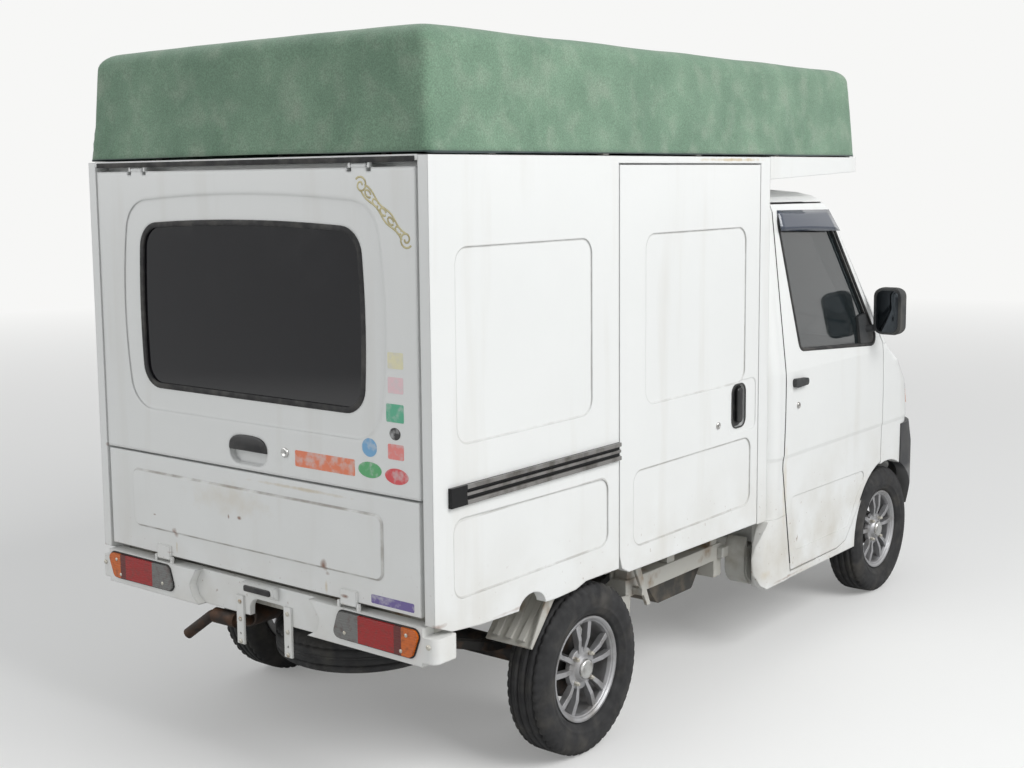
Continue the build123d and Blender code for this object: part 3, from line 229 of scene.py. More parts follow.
# The pressings, along whose folds a dark brown line is painted as shade in the crease and as dirt: across
# and up of the middle, half sizes, corner radius, strength
folds = {
    "rear": [((0.0085, 0.7905), (0.5515, 0.0935), 0.028, 0.70)],
    "side": [((0.3110, 1.3410), (0.3260, 0.2750), 0.050, 0.28),
             ((0.3235, 0.7375), (0.3845, 0.1245), 0.045, 0.34),
             ((1.2555, 1.3480), (0.3185, 0.2680), 0.048, 0.20),
             ((1.2230, 0.7645), (0.3710, 0.1095), 0.040, 0.34)],
}


def foldLine(tree, across, up, fold):
    # A thin band along the outline of a rounded rectangle
    middle, half, radius, strength = fold
    past = []
    for place, c, h in zip((across, up), middle, half):
        off = maths(tree, "ABSOLUTE", maths(tree, "SUBTRACT", place, c))
        past.append(maths(tree, "MAXIMUM", maths(tree, "SUBTRACT", off, h - radius)))
    corner = addNode(tree, "ShaderNodeCombineXYZ", {0: past[0], 1: past[1]}).outputs[0]
    reach = addNode(tree, "ShaderNodeVectorMath", {0: corner}, operation="LENGTH").outputs["Value"]
    off = maths(tree, "ABSOLUTE", maths(tree, "SUBTRACT", reach, radius - 0.002))
    return ramp(tree, off, 0.0045, 0.0015, 0.0, strength)


def makeBodyPaint(name, tint, edge):
    made, tree, shader, coords = newFinish(name, tint, bodyPaint["roughness"], Coat_Weight=0.25,
                                           Coat_Roughness=0.12)
    place = axesOf(tree, coords)
    cloudy = patches(tree, coords, (3.0, 5.0), *bodyPaint["cloudSpan"])
    colour = mixColour(tree, cloudy, tint, [c * 0.8 for c in tint])
    streaks = patches(tree, coords, (9.0, 5.0, (1, 1, 0.10)), *bodyPaint["streakSpan"])
    colour = mixColour(tree, streaks, colour, bodyPaint["film"])
    low = ramp(tree, place[2], bodyPaint["filmTop"], *bodyPaint["filmSpan"])
    patchy = patches(tree, coords, (6.0, 7.0), *bodyPaint["patchSpan"])
    film = times(tree, times(tree, low, low), patchy)
    colour = mixColour(tree, times(tree, film, bodyPaint["filmDepth"]), colour, bodyPaint["film"])
    specks = patches(tree, coords, (60.0, 2.0), *bodyPaint["speckSpan"])
    lower = times(tree, ramp(tree, place[2], 0.75, 0.35), bodyPaint["speckDepth"])
    colour = mixColour(tree, times(tree, specks, lower), colour, bodyPaint["rust"])
    uneven = patches(tree, coords, (13.0, 5.0), *bodyPaint["unevenSpan"])
    width = maths(tree, "ABSOLUTE", place[0])
    faces = (("rear", place[0], ramp(tree, place[1], 1.664, 1.666)),
             ("side", place[1], ramp(tree, width, 0.714, 0.716)))
    # Painted shade with dirt: a dark brown line along the folds of the pressings
    for face, across, inside in faces:
        for fold in folds[face]:
            line = times(tree, foldLine(tree, across, place[2], fold), times(tree, inside, uneven))
            colour = mixColour(tree, line, colour, bodyPaint["foldDirt"])
    for centre, size, strength, rusty in stains:
        mask = times(tree, spot(tree, coords, centre, size, 0.35, 30.0), strength)
        colour = mixColour(tree, mask, colour, bodyPaint["rust" if rusty else "stain"])
    paint(tree, shader, colour)
    rough = ramp(tree, film, 0.0, 0.7, bodyPaint["roughness"], bodyPaint["filmRoughness"])
    tree.links.new(rough, shader.inputs["Roughness"])
    bumpFrom(tree, shader, noiseAt(tree, coords, 24.0, 2.0), 0.10, 0.003, edge)
    return made


# Bands from the middle of the truck outward: clear, red, the dark bar, amber
lensLook = {
    "bands": [(0.0, (0.17, 0.17, 0.165)), (0.456, (0.35, 0.005, 0.005)), (0.590, (0.13, 0.012, 0.010)),
              (0.618, (0.62, 0.130, 0.010))],
    "speck": (0.09, 0.03, 0.02), "ribs": 42.0,
}


def makeLensFinish():
    made, tree, shader, coords = newFinish("tailLens", (0.5, 0.05, 0.03), 0.22, Coat_Weight=0.25,
                                           Coat_Roughness=0.05)
    place = axesOf(tree, coords)
    across = maths(tree, "ABSOLUTE", place[0])
    steps = addNode(tree, "ShaderNodeValToRGB", {0: across})
    steps.color_ramp.interpolation = "CONSTANT"
    elements = steps.color_ramp.elements
    for n, (start, tint) in enumerate(lensLook["bands"]):
        element = elements[n] if n < 2 else elements.new(start)
        element.position, element.color = start, (*tint, 1)
    speck = patches(tree, coords, (60.0, 3.0), 0.50, 0.72, 0.0, 0.45)
    paint(tree, shader, mixColour(tree, speck, steps.outputs[0], lensLook["speck"]))
    bumpFrom(tree, shader, waves(tree, coords, lensLook["ribs"], "Z"), 0.35, 0.002, 0.003)
    return made


tankLook = {
    "dark": (0.035, 0.033, 0.03), "pale": (0.50, 0.50, 0.47), "dirt": (0.21, 0.17, 0.12),
    "paleFrom": (-0.52, -0.54),
}


def makeTankFinish():
    made, tree, shader, coords = newFinish("tankPaint", (0.03, 0.03, 0.03), 0.5)
    place = axesOf(tree, coords)
    outer = ramp(tree, place[0], *tankLook["paleFrom"])
    colour = mixColour(tree, outer, tankLook["dark"], tankLook["pale"])
    dirt = patches(tree, coords, (12.0, 6.0), 0.45, 0.7, 0.0, 0.6)
    paint(tree, shader, mixColour(tree, dirt, colour, tankLook["dirt"]))
    bumpFrom(tree, shader, noiseAt(tree, coords, 60.0), 0.2, 0.002, 0.004)
    return made


# Dark above, weathered to grey below
bumperLook = {
    "dark": (0.040, 0.041, 0.044), "pale": (0.150, 0.150, 0.150), "dust": (0.20, 0.19, 0.17),
    "turn": (0.535, 0.505), "waver": 0.012,
}


def makeBumperFinish():
    made, tree, shader, coords = newFinish("bumperPlastic", (0.03, 0.03, 0.03), 0.6)
    place = axesOf(tree, coords)
    waver = patches(tree, coords, (4.0, 4.0), 0.3, 0.7, -bumperLook["waver"], bumperLook["waver"])
    lower = ramp(tree, maths(tree, "ADD", place[2], waver), *bumperLook["turn"])
    colour = mixColour(tree, lower, bumperLook["dark"], bumperLook["pale"])
    dusty = patches(tree, coords, (9.0, 7.0), 0.46, 0.72, 0.0, 0.28)
    paint(tree, shader, mixColour(tree, dusty, colour, bumperLook["dust"]))
    bumpFrom(tree, shader, noiseAt(tree, coords, 420.0), 0.25, 0.0006, 0.006)
    return made


def makeGlassFinish(name, tint, alpha):
    made, tree, shader, coords = newFinish(name, tint, 0.03, IOR=1.5, Alpha=alpha, Coat_Weight=1.0)
    dust = patches(tree, coords, (7.0, 6.0), 0.4, 0.8, 0.02, 0.16)
    tree.links.new(dust, shader.inputs["Roughness"])
    return made


# Pale where the rail stands proud, dark in its grooves and on the cap at its rear end
railLook = {
    "pale": (0.30, 0.29, 0.28), "worn": (0.13, 0.12, 0.11), "groove": (0.018, 0.018, 0.019),
    "cap": (0.022, 0.022, 0.023), "proudFrom": (0.7338, 0.7352), "capFrom": (1.546, 1.548),
}


def makeRailFinish():
    made, tree, shader, coords = newFinish("railMetal", (0.3, 0.3, 0.3), 0.34, 0.75)
    place = axesOf(tree, coords)
    proud = ramp(tree, maths(tree, "ABSOLUTE", place[0]), *railLook["proudFrom"])
    dull = patches(tree, coords, (20.0, 5.0), 0.45, 0.7)
    pale = mixColour(tree, dull, railLook["pale"], railLook["worn"])
    colour = mixColour(tree, proud, railLook["groove"], pale)
    colour = mixColour(tree, ramp(tree, place[1], *railLook["capFrom"]), colour, railLook["cap"])
    paint(tree, shader, colour)
    bumpFrom(tree, shader, noiseAt(tree, coords, 80.0), 0.1, 0.001, 0.002)
    return made


canvasLook = {
    "tint": (0.150, 0.250, 0.172), "faded": (0.200, 0.315, 0.220), "dust": (0.31, 0.36, 0.29),
    "hem": (0.045, 0.062, 0.075), "weave": 260.0, "hemTop": 1.872, "hemFade": 0.003, "hemDepth": 0.85,
    "sunSpan": (0.38, 0.66), "dustSpan": (0.50, 0.78, 0.0, 0.5), "grainSpan": (0.35, 0.65, 0.80, 1.18),
}


def makeCanvasFinish():
    look = canvasLook
    made, tree, shader, coords = newFinish("greenCanvas", look["tint"], 0.85, Sheen_Weight=0.25,
                                           Specular_IOR_Level=0.25)
    place = axesOf(tree, coords)
    sunned = patches(tree, coords, (5.5, 7.0), *look["sunSpan"])
    colour = mixColour(tree, sunned, look["tint"], look["faded"])
    dusty = patches(tree, coords, (11.0, 8.0), *look["dustSpan"])
    colour = mixColour(tree, dusty, colour, look["dust"])
    grain = patches(tree, coords, (240.0, 2.0), *look["grainSpan"])
    grey = addNode(tree, "ShaderNodeCombineColor", {0: grain, 1: grain, 2: grain}).outputs[0]
    colour = mixColour(tree, 1.0, colour, grey, "MULTIPLY")
    hem = ramp(tree, place[2], look["hemTop"], look["hemTop"] - look["hemFade"], 0.0, look["hemDepth"])
    colour = mixColour(tree, hem, colour, look["hem"])
    paint(tree, shader, colour)
    warp = waves(tree, coords, look["weave"], "Z")
    slope = addNode(tree, "ShaderNodeMapping", {"Vector": coords, "Scale": (1, 1, 0)}).outputs[0]
    weft = waves(tree, slope, look["weave"], "DIAGONAL")
    weave = times(tree, warp, weft)
    creases = noiseAt(tree, coords, 30.0, 5.0, (1, 1, 0.6))
    height = maths(tree, "ADD", times(tree, weave, 0.25), creases)
    bumpFrom(tree, shader, height, 0.35, 0.004)
    return made


def makeWovenFinish(name, tint, second):
    made, tree, shader, coords = newFinish(name, tint, 0.9, Sheen_Weight=0.4, Specular_IOR_Level=0.2)
    threads = addNode(tree, "ShaderNodeTexVoronoi", {"Vector": coords, "Scale": 420.0}).outputs["Distance"]
    wear = patches(tree, coords, (9.0, 5.0), 0.4, 0.7, 0.0, 0.5)
    colour = mixColour(tree, wear, tint, second)
    colour = mixColour(tree, ramp(tree, threads, 0.2, 0.7, 0.0, 0.45), colour, (0.03, 0.03, 0.035))
    paint(tree, shader, colour)
    bumpFrom(tree, shader, threads, 0.5, 0.001)
    return made


finishes = {
    "white_paint": makeBodyPaint("bodyWhite", bodyPaint["tint"], bodyPaint["edge"]),
    "chassis_paint": mottled("framePaint", (0.50, 0.49, 0.45), (0.26, 0.17, 0.10), 0.55,
                             scale=12, spread=(0.54, 0.74), edge=0.005),
    "dark_steel": mottled("darkSteel", (0.025, 0.024, 0.023), (0.12, 0.07, 0.04), 0.6, 0.3,
                          scale=14, spread=(0.5, 0.72), edge=0.003),
    "cast_metal": mottled("castMetal", (0.20, 0.19, 0.175), (0.10, 0.075, 0.05), 0.62, 0.7,
                          scale=10, bump=0.4, edge=0.006),
    "exhaust_steel": mottled("exhaustSteel", (0.032, 0.024, 0.020), (0.095, 0.045, 0.022), 0.6, 0.5,
                             scale=16, spread=(0.45, 0.68)),
    "tyre_rubber": mottled("tyreRubber", (0.021, 0.021, 0.022), (0.060, 0.056, 0.050), 0.82,
                           scale=11, spread=(0.5, 0.75), grain=240),
    "alloy": mottled("wheelSilver", (0.40, 0.40, 0.41), (0.25, 0.24, 0.23), 0.46, 0.75,
                     scale=13, spread=(0.5, 0.75), edge=0.003),
    "clear_glass": makeGlassFinish("cabGlass", (0.014, 0.020, 0.022), 0.78),
    "dark_glass": makeGlassFinish("gateGlass", (0.005, 0.0045, 0.007), 0.96),
    "grey_plastic": mottled("dashPlastic", (0.115, 0.118, 0.122), (0.15, 0.15, 0.15), 0.7,
                            scale=5, grain=500, bump=0.3, depth=0.0006, edge=0.005),
    "dark_plastic": mottled("trimPlastic", (0.030, 0.032, 0.034), (0.075, 0.073, 0.068), 0.62,
                            scale=7, grain=420, bump=0.25, depth=0.0006, edge=0.005),
    "seat_fabric": makeWovenFinish("seatCloth", (0.085, 0.09, 0.10), (0.14, 0.14, 0.145)),
    "lamp_clear": mottled("lampClear", (0.60, 0.62, 0.63), (0.50, 0.51, 0.50), 0.10,
                          scale=5, bump=0.05, Coat_Weight=0.8, Alpha=0.45),
    "lamp_red": makeLensFinish(),
    "rail_metal": makeRailFinish(),
    "green_canvas": makeCanvasFinish(),
}
extra = {
    "rubber": mottled("sealRubber", (0.016, 0.016, 0.017), (0.05, 0.048, 0.045), 0.7, scale=18),
    "chrome": mottled("brightMetal", (0.62, 0.62, 0.61), (0.40, 0.39, 0.37), 0.22, 1.0, scale=25),
    "black": mottled("handleBlack", (0.012, 0.012, 0.013), (0.035, 0.034, 0.033), 0.35, scale=20),
    "mirrorGlass": mottled("mirrorGlass", (0.07, 0.08, 0.09), (0.05, 0.055, 0.06), 0.06, 1.0, scale=3,
                           bump=0.0),
    "amber": mottled("amberLens", (0.85, 0.23, 0.02), (0.70, 0.17, 0.015), 0.2, scale=20, Coat_Weight=0.6),
    "zinc": mottled("zincPlate", (0.55, 0.53, 0.47), (0.30, 0.18, 0.09), 0.45, 0.7,
                    scale=40, spread=(0.55, 0.7)),
    "visor": makeGlassFinish("visorFilm", (0.045, 0.060, 0.095), 0.82),
    # Grey lining made darker as painted shade inside the cab
    "darkInside": mottled("cabLining", (0.20, 0.20, 0.205), (0.26, 0.25, 0.24), 0.8, scale=6, grain=300),
    "tank": makeTankFinish(),
    "gate": makeBodyPaint("gateWhite", bodyPaint["tint"], bodyPaint["softEdge"]),
    "bumper": makeBumperFinish(),
    "screen": makeGlassFinish("screenGlass", (0.014, 0.020, 0.022), 0.45),
    "gold": mottled("goldVinyl", (0.52, 0.47, 0.28), (0.36, 0.31, 0.16), 0.42, 0.3, scale=40),
    "dial": mottled("dialFace", (0.03, 0.035, 0.045), (0.16, 0.17, 0.18), 0.3,
                    scale=60, spread=(0.60, 0.66), Coat_Weight=0.6),
}
for name, piece in nodes.items():
    piece.data.materials.clear()
    piece.data.materials.append(finishes[slotOf[name]])
    piece.data.polygons.foreach_set("material_index", [0] * len(piece.data.polygons))
ownFinish = {"tanks": "tank", "liftgate_panel": "gate", "front_bumper": "bumper", "cab_glass": "screen"}
for name, finish in ownFinish.items():
    nodes[name].data.materials[0] = extra[finish]
print("finishes made,", len(bpy.data.materials), "materials")


# Mesh helpers
def linked(name, mesh, material):
    made = bpy.data.objects.new(name, mesh)
    bpy.context.scene.collection.objects.link(made)
    if material:
        mesh.materials.clear()
        mesh.materials.append(material)
    return made


def fromLists(name, points, faces, material, smooth=True, clean=True):
    mesh = bpy.data.meshes.new(name)
    mesh.from_pydata([tuple(p) for p in points], [], faces)
    if clean:
        work = bmesh.new()
        work.from_mesh(mesh)
        bmesh.ops.remove_doubles(work, verts=work.verts, dist=1e-5)
        bmesh.ops.recalc_face_normals(work, faces=work.faces)
        work.to_mesh(mesh)
        work.free()
    if smooth:
        mesh.shade_smooth()
    return linked(name, mesh, material)


def settled(made):
    # Modifiers baked in, so the piece is a plain mesh at the origin
    view = bpy.context.evaluated_depsgraph_get()
    mesh = bpy.data.meshes.new_from_object(made.evaluated_get(view))
    made.modifiers.clear()
    made.data = mesh
    return made


edgeSetup = {"segments": 2, "bevelAngle": math.radians(35), "sharpAngle": math.radians(50)}


def bevelled(made, width):
    bevel = made.modifiers.new("edge", "BEVEL")
    bevel.width, bevel.segments, bevel.angle_limit = width, edgeSetup["segments"], edgeSetup["bevelAngle"]
    bevel.limit_method = "ANGLE"
    settled(made)
    made.data.shade_smooth()
    work = bmesh.new()
    work.from_mesh(made.data)
    for edge in work.edges:
        if len(edge.link_faces) == 2 and edge.calc_face_angle() > edgeSetup["sharpAngle"]:
            edge.smooth = False
    work.to_mesh(made.data)
    work.free()
    return made


def roundedLoop(corners, radius, steps=6):
    loop = []
    count = len(corners)
    for i, corner in enumerate(corners):
        here = Vector(corner)
        back, ahead = Vector(corners[i - 1]) - here, Vector(corners[(i + 1) % count]) - here
        half = back.angle(ahead) / 2
        reach = min(radius / math.tan(half), back.length * 0.49, ahead.length * 0.49)
        size = reach * math.tan(half)
        centre = here + (back.normalized() + ahead.normalized()).normalized() * (size / math.sin(half))
        start, end = here + back.normalized() * reach - centre, here + ahead.normalized() * reach - centre
        turn = start.angle_signed(end)
        for k in range(steps + 1):
            angle = -turn * k / steps
            loop.append(centre + Vector((start.x * math.cos(angle) - start.y * math.sin(angle),
                                         start.x * math.sin(angle) + start.y * math.cos(angle))))
    return loop


signs = {"left": 1, "right": -1}
# (u, v) on a face, w outward: rear faces +Y, left and right are the sides
planes = {
    "rear": lambda u, v, w: (u, w, v), "top": lambda u, v, w: (u, v, w),
    "left": lambda u, v, w: (w, u, v), "right": lambda u, v, w: (-w, u, v),
}


def closedPlate(name, lower, upper, material, bevel):
    # A solid between two outlines with as many points
    count = len(lower)
    faces = [list(range(count)), list(range(count, 2 * count))]
    faces += [[i, (i + 1) % count, count + (i + 1) % count, count + i] for i in range(count)]
    made = fromLists(name, lower + upper, faces, material, smooth=False)
    return bevelled(made, bevel) if bevel else made


def slab(name, loop, plane, low, high, material, bevel=0.0):
    put = planes[plane]
    return closedPlate(name, [put(*p, low) for p in loop], [put(*p, high) for p in loop], material, bevel)


def ring(name, loop, plane, low, high, width, material, bevel=0.0):
    # A flat frame of that width along a loop, lying between two depths
    put = planes[plane]
    count = len(loop)
    inner = []
    for i in range(count):
        ahead = (Vector(loop[(i + 1) % count]) - Vector(loop[i - 1])).normalized()
        inner.append(Vector(loop[i]) + Vector((-ahead.y, ahead.x)) * width)
    points = [put(*p, w) for line in (loop, inner) for w in (low, high) for p in line]
    faces = []
    for i in range(count):
        j = (i + 1) % count
        a, b, c, d = 0, count, 2 * count, 3 * count
        faces += [[a + i, a + j, b + j, b + i], [c + i, d + i, d + j, c + j],
                  [b + i, b + j, d + j, d + i], [a + i, c + i, c + j, a + j]]
    made = fromLists(name, points, faces, material, smooth=False)
    return bevelled(made, bevel) if bevel else made


def turned(name, profile, centre, axis, material, steps=48):
    # Profile of (along, radius) turned about an axis through centre
    ways = {"x": (Vector((1, 0, 0)), Vector((0, 1, 0)), Vector((0, 0, 1))),
            "y": (Vector((0, 1, 0)), Vector((1, 0, 0)), Vector((0, 0, 1))),
            "z": (Vector((0, 0, 1)), Vector((1, 0, 0)), Vector((0, 1, 0)))}
    along, first, second = ways[axis]
    points, faces = [], []
    count = len(profile)
    for k in range(steps):
        angle = 2 * math.pi * k / steps
        way = first * math.cos(angle) + second * math.sin(angle)
        points += [Vector(centre) + along * a + way * r for a, r in profile]
    for k in range(steps):
        base, following = k * count, (k + 1) % steps * count
        for i in range(count - 1):
            faces.append([base + i, base + i + 1, following + i + 1, following + i])
    return fromLists(name, points, faces, material)


def tube(name, points, radius, material, closed=False, sides=3):
    curve = bpy.data.curves.new(name, "CURVE")
    curve.dimensions, curve.bevel_depth, curve.bevel_resolution = "3D", radius, sides
    curve.use_fill_caps = not closed
    spline = curve.splines.new("POLY")
    spline.points.add(len(points) - 1)
    for place, point in zip(spline.points, points):
        place.co = (*point, 1)
    spline.use_cyclic_u = closed
    source = bpy.data.objects.new(name, curve)
    bpy.context.scene.collection.objects.link(source)
    bpy.context.view_layer.update()
    mesh = bpy.data.meshes.new_from_object(source.evaluated_get(bpy.context.evaluated_depsgraph_get()))
    bpy.data.objects.remove(source)
    mesh.shade_smooth()
    return linked(name, mesh, material)


def fixed(made, body="root", slot=None, *replaced):
    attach(made, body)
    if replaced:
        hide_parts(*replaced)
    return made


def treeOf(*names):
    points, faces = [], []
    for name in names:
        base = len(points)
        points += [v.co.copy() for v in nodes[name].data.vertices]
        faces += [[base + i for i in p.vertices] for p in nodes[name].data.polygons]
    return BVHTree.FromPolygons(points, faces)


def onSkin(tree, way, a, b, lift=0.0):
    # The outermost point of a CAD skin at (y, z) seen from a side, or (x, z) from an end
    start, ahead = {"left": ((2, a, b), (-1, 0, 0)), "right": ((-2, a, b), (1, 0, 0)),
                    "front": ((a, -3, b), (0, 1, 0)), "rear": ((a, 3, b), (0, -1, 0))}[way]
    point, normal = tree.ray_cast(Vector(start), Vector(ahead))[:2]
    if normal.dot(Vector(ahead)) > 0:
        normal = -normal
    return point + normal * lift


def dense(loop, step=0.03):
    filled = []
    for i, here in enumerate(loop):
        ahead = Vector(loop[(i + 1) % len(loop)]) - Vector(here)
        parts = max(1, math.ceil(ahead.length / step))
        filled += [Vector(here) + ahead * k / parts for k in range(parts)]
    return filled


def grown(loop, amount):
    # Loops run anticlockwise, so the outside is on the right of each step
    moved = []
    for i, here in enumerate(loop):
        ahead = (Vector(loop[(i + 1) % len(loop)]) - Vector(loop[i - 1])).normalized()
        moved.append(Vector(here) + Vector((ahead.y, -ahead.x)) * amount)
    return moved


def roundedRect(u0, u1, v0, v1, radius, steps=6):
    return roundedLoop([(u1, v1), (u0, v1), (u0, v0), (u1, v0)], radius, steps)


def ovalLoop(centre, size, steps=28):
    return [Vector((centre[0] + size[0] * math.cos(2 * math.pi * k / steps),
                    centre[1] + size[1] * math.sin(2 * math.pi * k / steps))) for k in range(steps)]


def skinPlate(name, tree, way, loop, low, high, material, bevel=0.0):
    # A plate that follows the skin under its outline
    lower, upper = ([onSkin(tree, way, *p, lift) for p in loop] for lift in (low, high))
    return closedPlate(name, lower, upper, material, bevel)


def joinedPiece(name, pieces):
    for piece in bpy.context.selected_objects:
        piece.select_set(False)
    for piece in pieces:
        piece.select_set(True)
    bpy.context.view_layer.objects.active = pieces[0]
    bpy.ops.object.join()
    pieces[0].name = name
    pieces[0].data.name = name
    return pieces[0]


# Screws: a small domed head on every point, turned along the point's own direction
def makeScrewTree():
    tree = bpy.data.node_groups.new("screwHeads", "GeometryNodeTree")
    for label, kind in (("Geometry", "NodeSocketGeometry"), ("Radius", "NodeSocketFloat"),
                        ("Height", "NodeSocketFloat"), ("Sides", "NodeSocketInt"),
                        ("Finish", "NodeSocketMaterial")):
        tree.interface.new_socket(label, in_out="INPUT", socket_type=kind)
    tree.interface.new_socket("Geometry", in_out="OUTPUT", socket_type="NodeSocketGeometry")
    given, result = tree.nodes.new("NodeGroupInput"), tree.nodes.new("NodeGroupOutput")
    radius, height, sides = (given.outputs[key] for key in ("Radius", "Height", "Sides"))
    half = times(tree, height, 0.5)
    head = addNode(tree, "GeometryNodeMeshCylinder", {"Vertices": sides, "Radius": radius, "Depth": height})
    dome = addNode(tree, "GeometryNodeMeshCone", {"Vertices": sides, "Depth": half, "Radius Bottom": radius,
                                                  "Radius Top": times(tree, radius, 0.55)})
    lift = addNode(tree, "ShaderNodeCombineXYZ", {2: half})
    raised = addNode(tree, "GeometryNodeTransform", {"Geometry": dome.outputs["Mesh"],
                                                     "Translation": lift.outputs[0]})
    both = addNode(tree, "GeometryNodeJoinGeometry")
    tree.links.new(head.outputs["Mesh"], both.inputs[0])
    tree.links.new(raised.outputs[0], both.inputs[0])
    aim = addNode(tree, "GeometryNodeInputNamedAttribute", {"Name": "aim"}, data_type="FLOAT_VECTOR")
    turn = addNode(tree, "FunctionNodeAlignRotationToVector", {"Vector": aim.outputs["Attribute"]}, axis="Z")
    inputs = {"Points": given.outputs["Geometry"], "Instance": both.outputs[0], "Rotation": turn.outputs[0]}
    spread = addNode(tree, "GeometryNodeInstanceOnPoints", inputs)
    real = addNode(tree, "GeometryNodeRealizeInstances", {0: spread.outputs[0]})
    done = addNode(tree, "GeometryNodeSetMaterial", {"Geometry": real.outputs[0],
                                                     "Material": given.outputs["Finish"]})
    tree.links.new(done.outputs[0], result.inputs[0])
    return tree


screwTree = makeScrewTree()


def screws(name, places, radius, height, material, body="root", sides=10):
    # places: (point, direction) pairs
    mesh = bpy.data.meshes.new(name)
    mesh.from_pydata([tuple(p) for p, d in places], [], [])
    aim = mesh.attributes.new("aim", "FLOAT_VECTOR", "POINT")
    aim.data.foreach_set("vector", [c for p, d in places for c in d])
    made = linked(name, mesh, None)
    work = made.modifiers.new("heads", "NODES")
    work.node_group = screwTree
    sockets = {item.name: item.identifier for item in screwTree.interface.items_tree
               if item.in_out == "INPUT"}
    for key, value in (("Radius", radius), ("Height", height), ("Sides", sides), ("Finish", material)):
        work[sockets[key]] = value
    settled(made)
    return fixed(made, body)


# Canvas top: one sheet over five bows, its walls drawn in between them, its hem slightly full
canvas = {
    "halfWidth": 0.727, "front": -0.901, "rear": 1.677, "hemZ": 1.866, "shoulderZ": 2.150, "topZ": 2.203,
    "lean": 0.021, "corner": 0.030, "bows": (-0.850, -0.250, 0.300, 0.850, 1.400), "sag": 0.016,
    "draw": 0.004, "folds": 0.0030, "thickness": 0.0016, "tieStep": 0.55, "fan": 0.0042, "halfBay": 0.275,
    "roll": 0.066, "middleY": 0.39, "halfLength": 1.29, "crown": 0.004, "wall": 0.325,
    "wallRings": 16, "rollRings": 8, "sideSteps": 150, "endSteps": 84, "cornerSteps": 5,
}


def canvasRings():
    c = canvas
    rings = []
    for k in range(c["wallRings"] + 1):
        t = k / c["wallRings"]
        rings.append((c["hemZ"] + (c["shoulderZ"] - c["hemZ"]) * t, c["lean"] * t))
    for k in range(1, c["rollRings"] + 1):
        angle = math.pi / 2 * k / c["rollRings"]
        rings.append((c["shoulderZ"] + (c["topZ"] - c["shoulderZ"]) * math.sin(angle),
                      c["lean"] + c["roll"] * (1 - math.cos(angle))))
    inset = rings[-1][1]
    while inset < c["halfWidth"] - 0.03:
        inset += 0.032
        rings.append((c["topZ"], min(inset, c["halfWidth"] - 0.012)))
    return rings


def canvasPoint(point, inset):
    c = canvas
    x, y, z = point
    gap = min(abs(y - bow) for bow in c["bows"])
    between = math.sin(min(1.0, gap / c["halfBay"]) * math.pi / 2) ** 2
    if y < c["bows"][0] or y > c["bows"][-1]:
        between *= 0.5
    up = (z - c["hemZ"]) / (c["topZ"] - c["hemZ"])
    onTop = min(1.0, max(0.0, (inset - 0.05) / 0.10))
    crown = c["crown"] * (1 - (x / c["halfWidth"]) ** 2)
    z += (crown - c["sag"] * between * onTop * (1 - 0.35 * (x / c["halfWidth"]) ** 2))
    onSide = abs(x / c["halfWidth"]) > abs((y - c["middleY"]) / c["halfLength"])
    way = Vector((math.copysign(1, x), 0, 0)) if onSide else Vector((0, math.copysign(1, y), 0))
    along = y if onSide else x
    wall = 1 - onTop
    fullness = (1 - up) ** 1.4
    fold = noise.noise(Vector((along * 9, z * 2.2, 3.1)))
    fold += 0.5 * noise.noise(Vector((along * 23, z * 4.5, 7.7)))
    slack = noise.noise(Vector((along * 3.2 + z * 5, z * 7, 1.3)))
    crease = 0.0016 * noise.noise(Vector((along * 46, z * 8 + along * 9, 9.4)))
    drawn = c["draw"] * between * math.sin(math.pi * min(1, up * 1.15))
    # Creases run out like a fan from where the hem is tied down
    tied = (along + 0.16) % c["tieStep"] - c["tieStep"] / 2
    reach = math.hypot(tied, z - c["hemZ"])
    fan = math.cos(8 * math.atan2(z - c["hemZ"], tied) + 5 * noise.noise(Vector((along * 1.3, 2.0, 8.0))))
    fan *= math.exp(-(reach / 0.13) ** 2) * min(1.0, reach / 0.035) * c["fan"]
    push = wall * (c["folds"] * fold * (0.35 + fullness) + 0.0025 * slack + crease + fan - drawn)
    z += wall * fullness * 0.006 * noise.noise(Vector((along * 2.4, 5.5, 0.4)))
    ripple = 0.0035 * noise.noise(Vector((x * 6, y * 5, 2.2))) * onTop
    return Vector((x, y, z + ripple)) + way * push


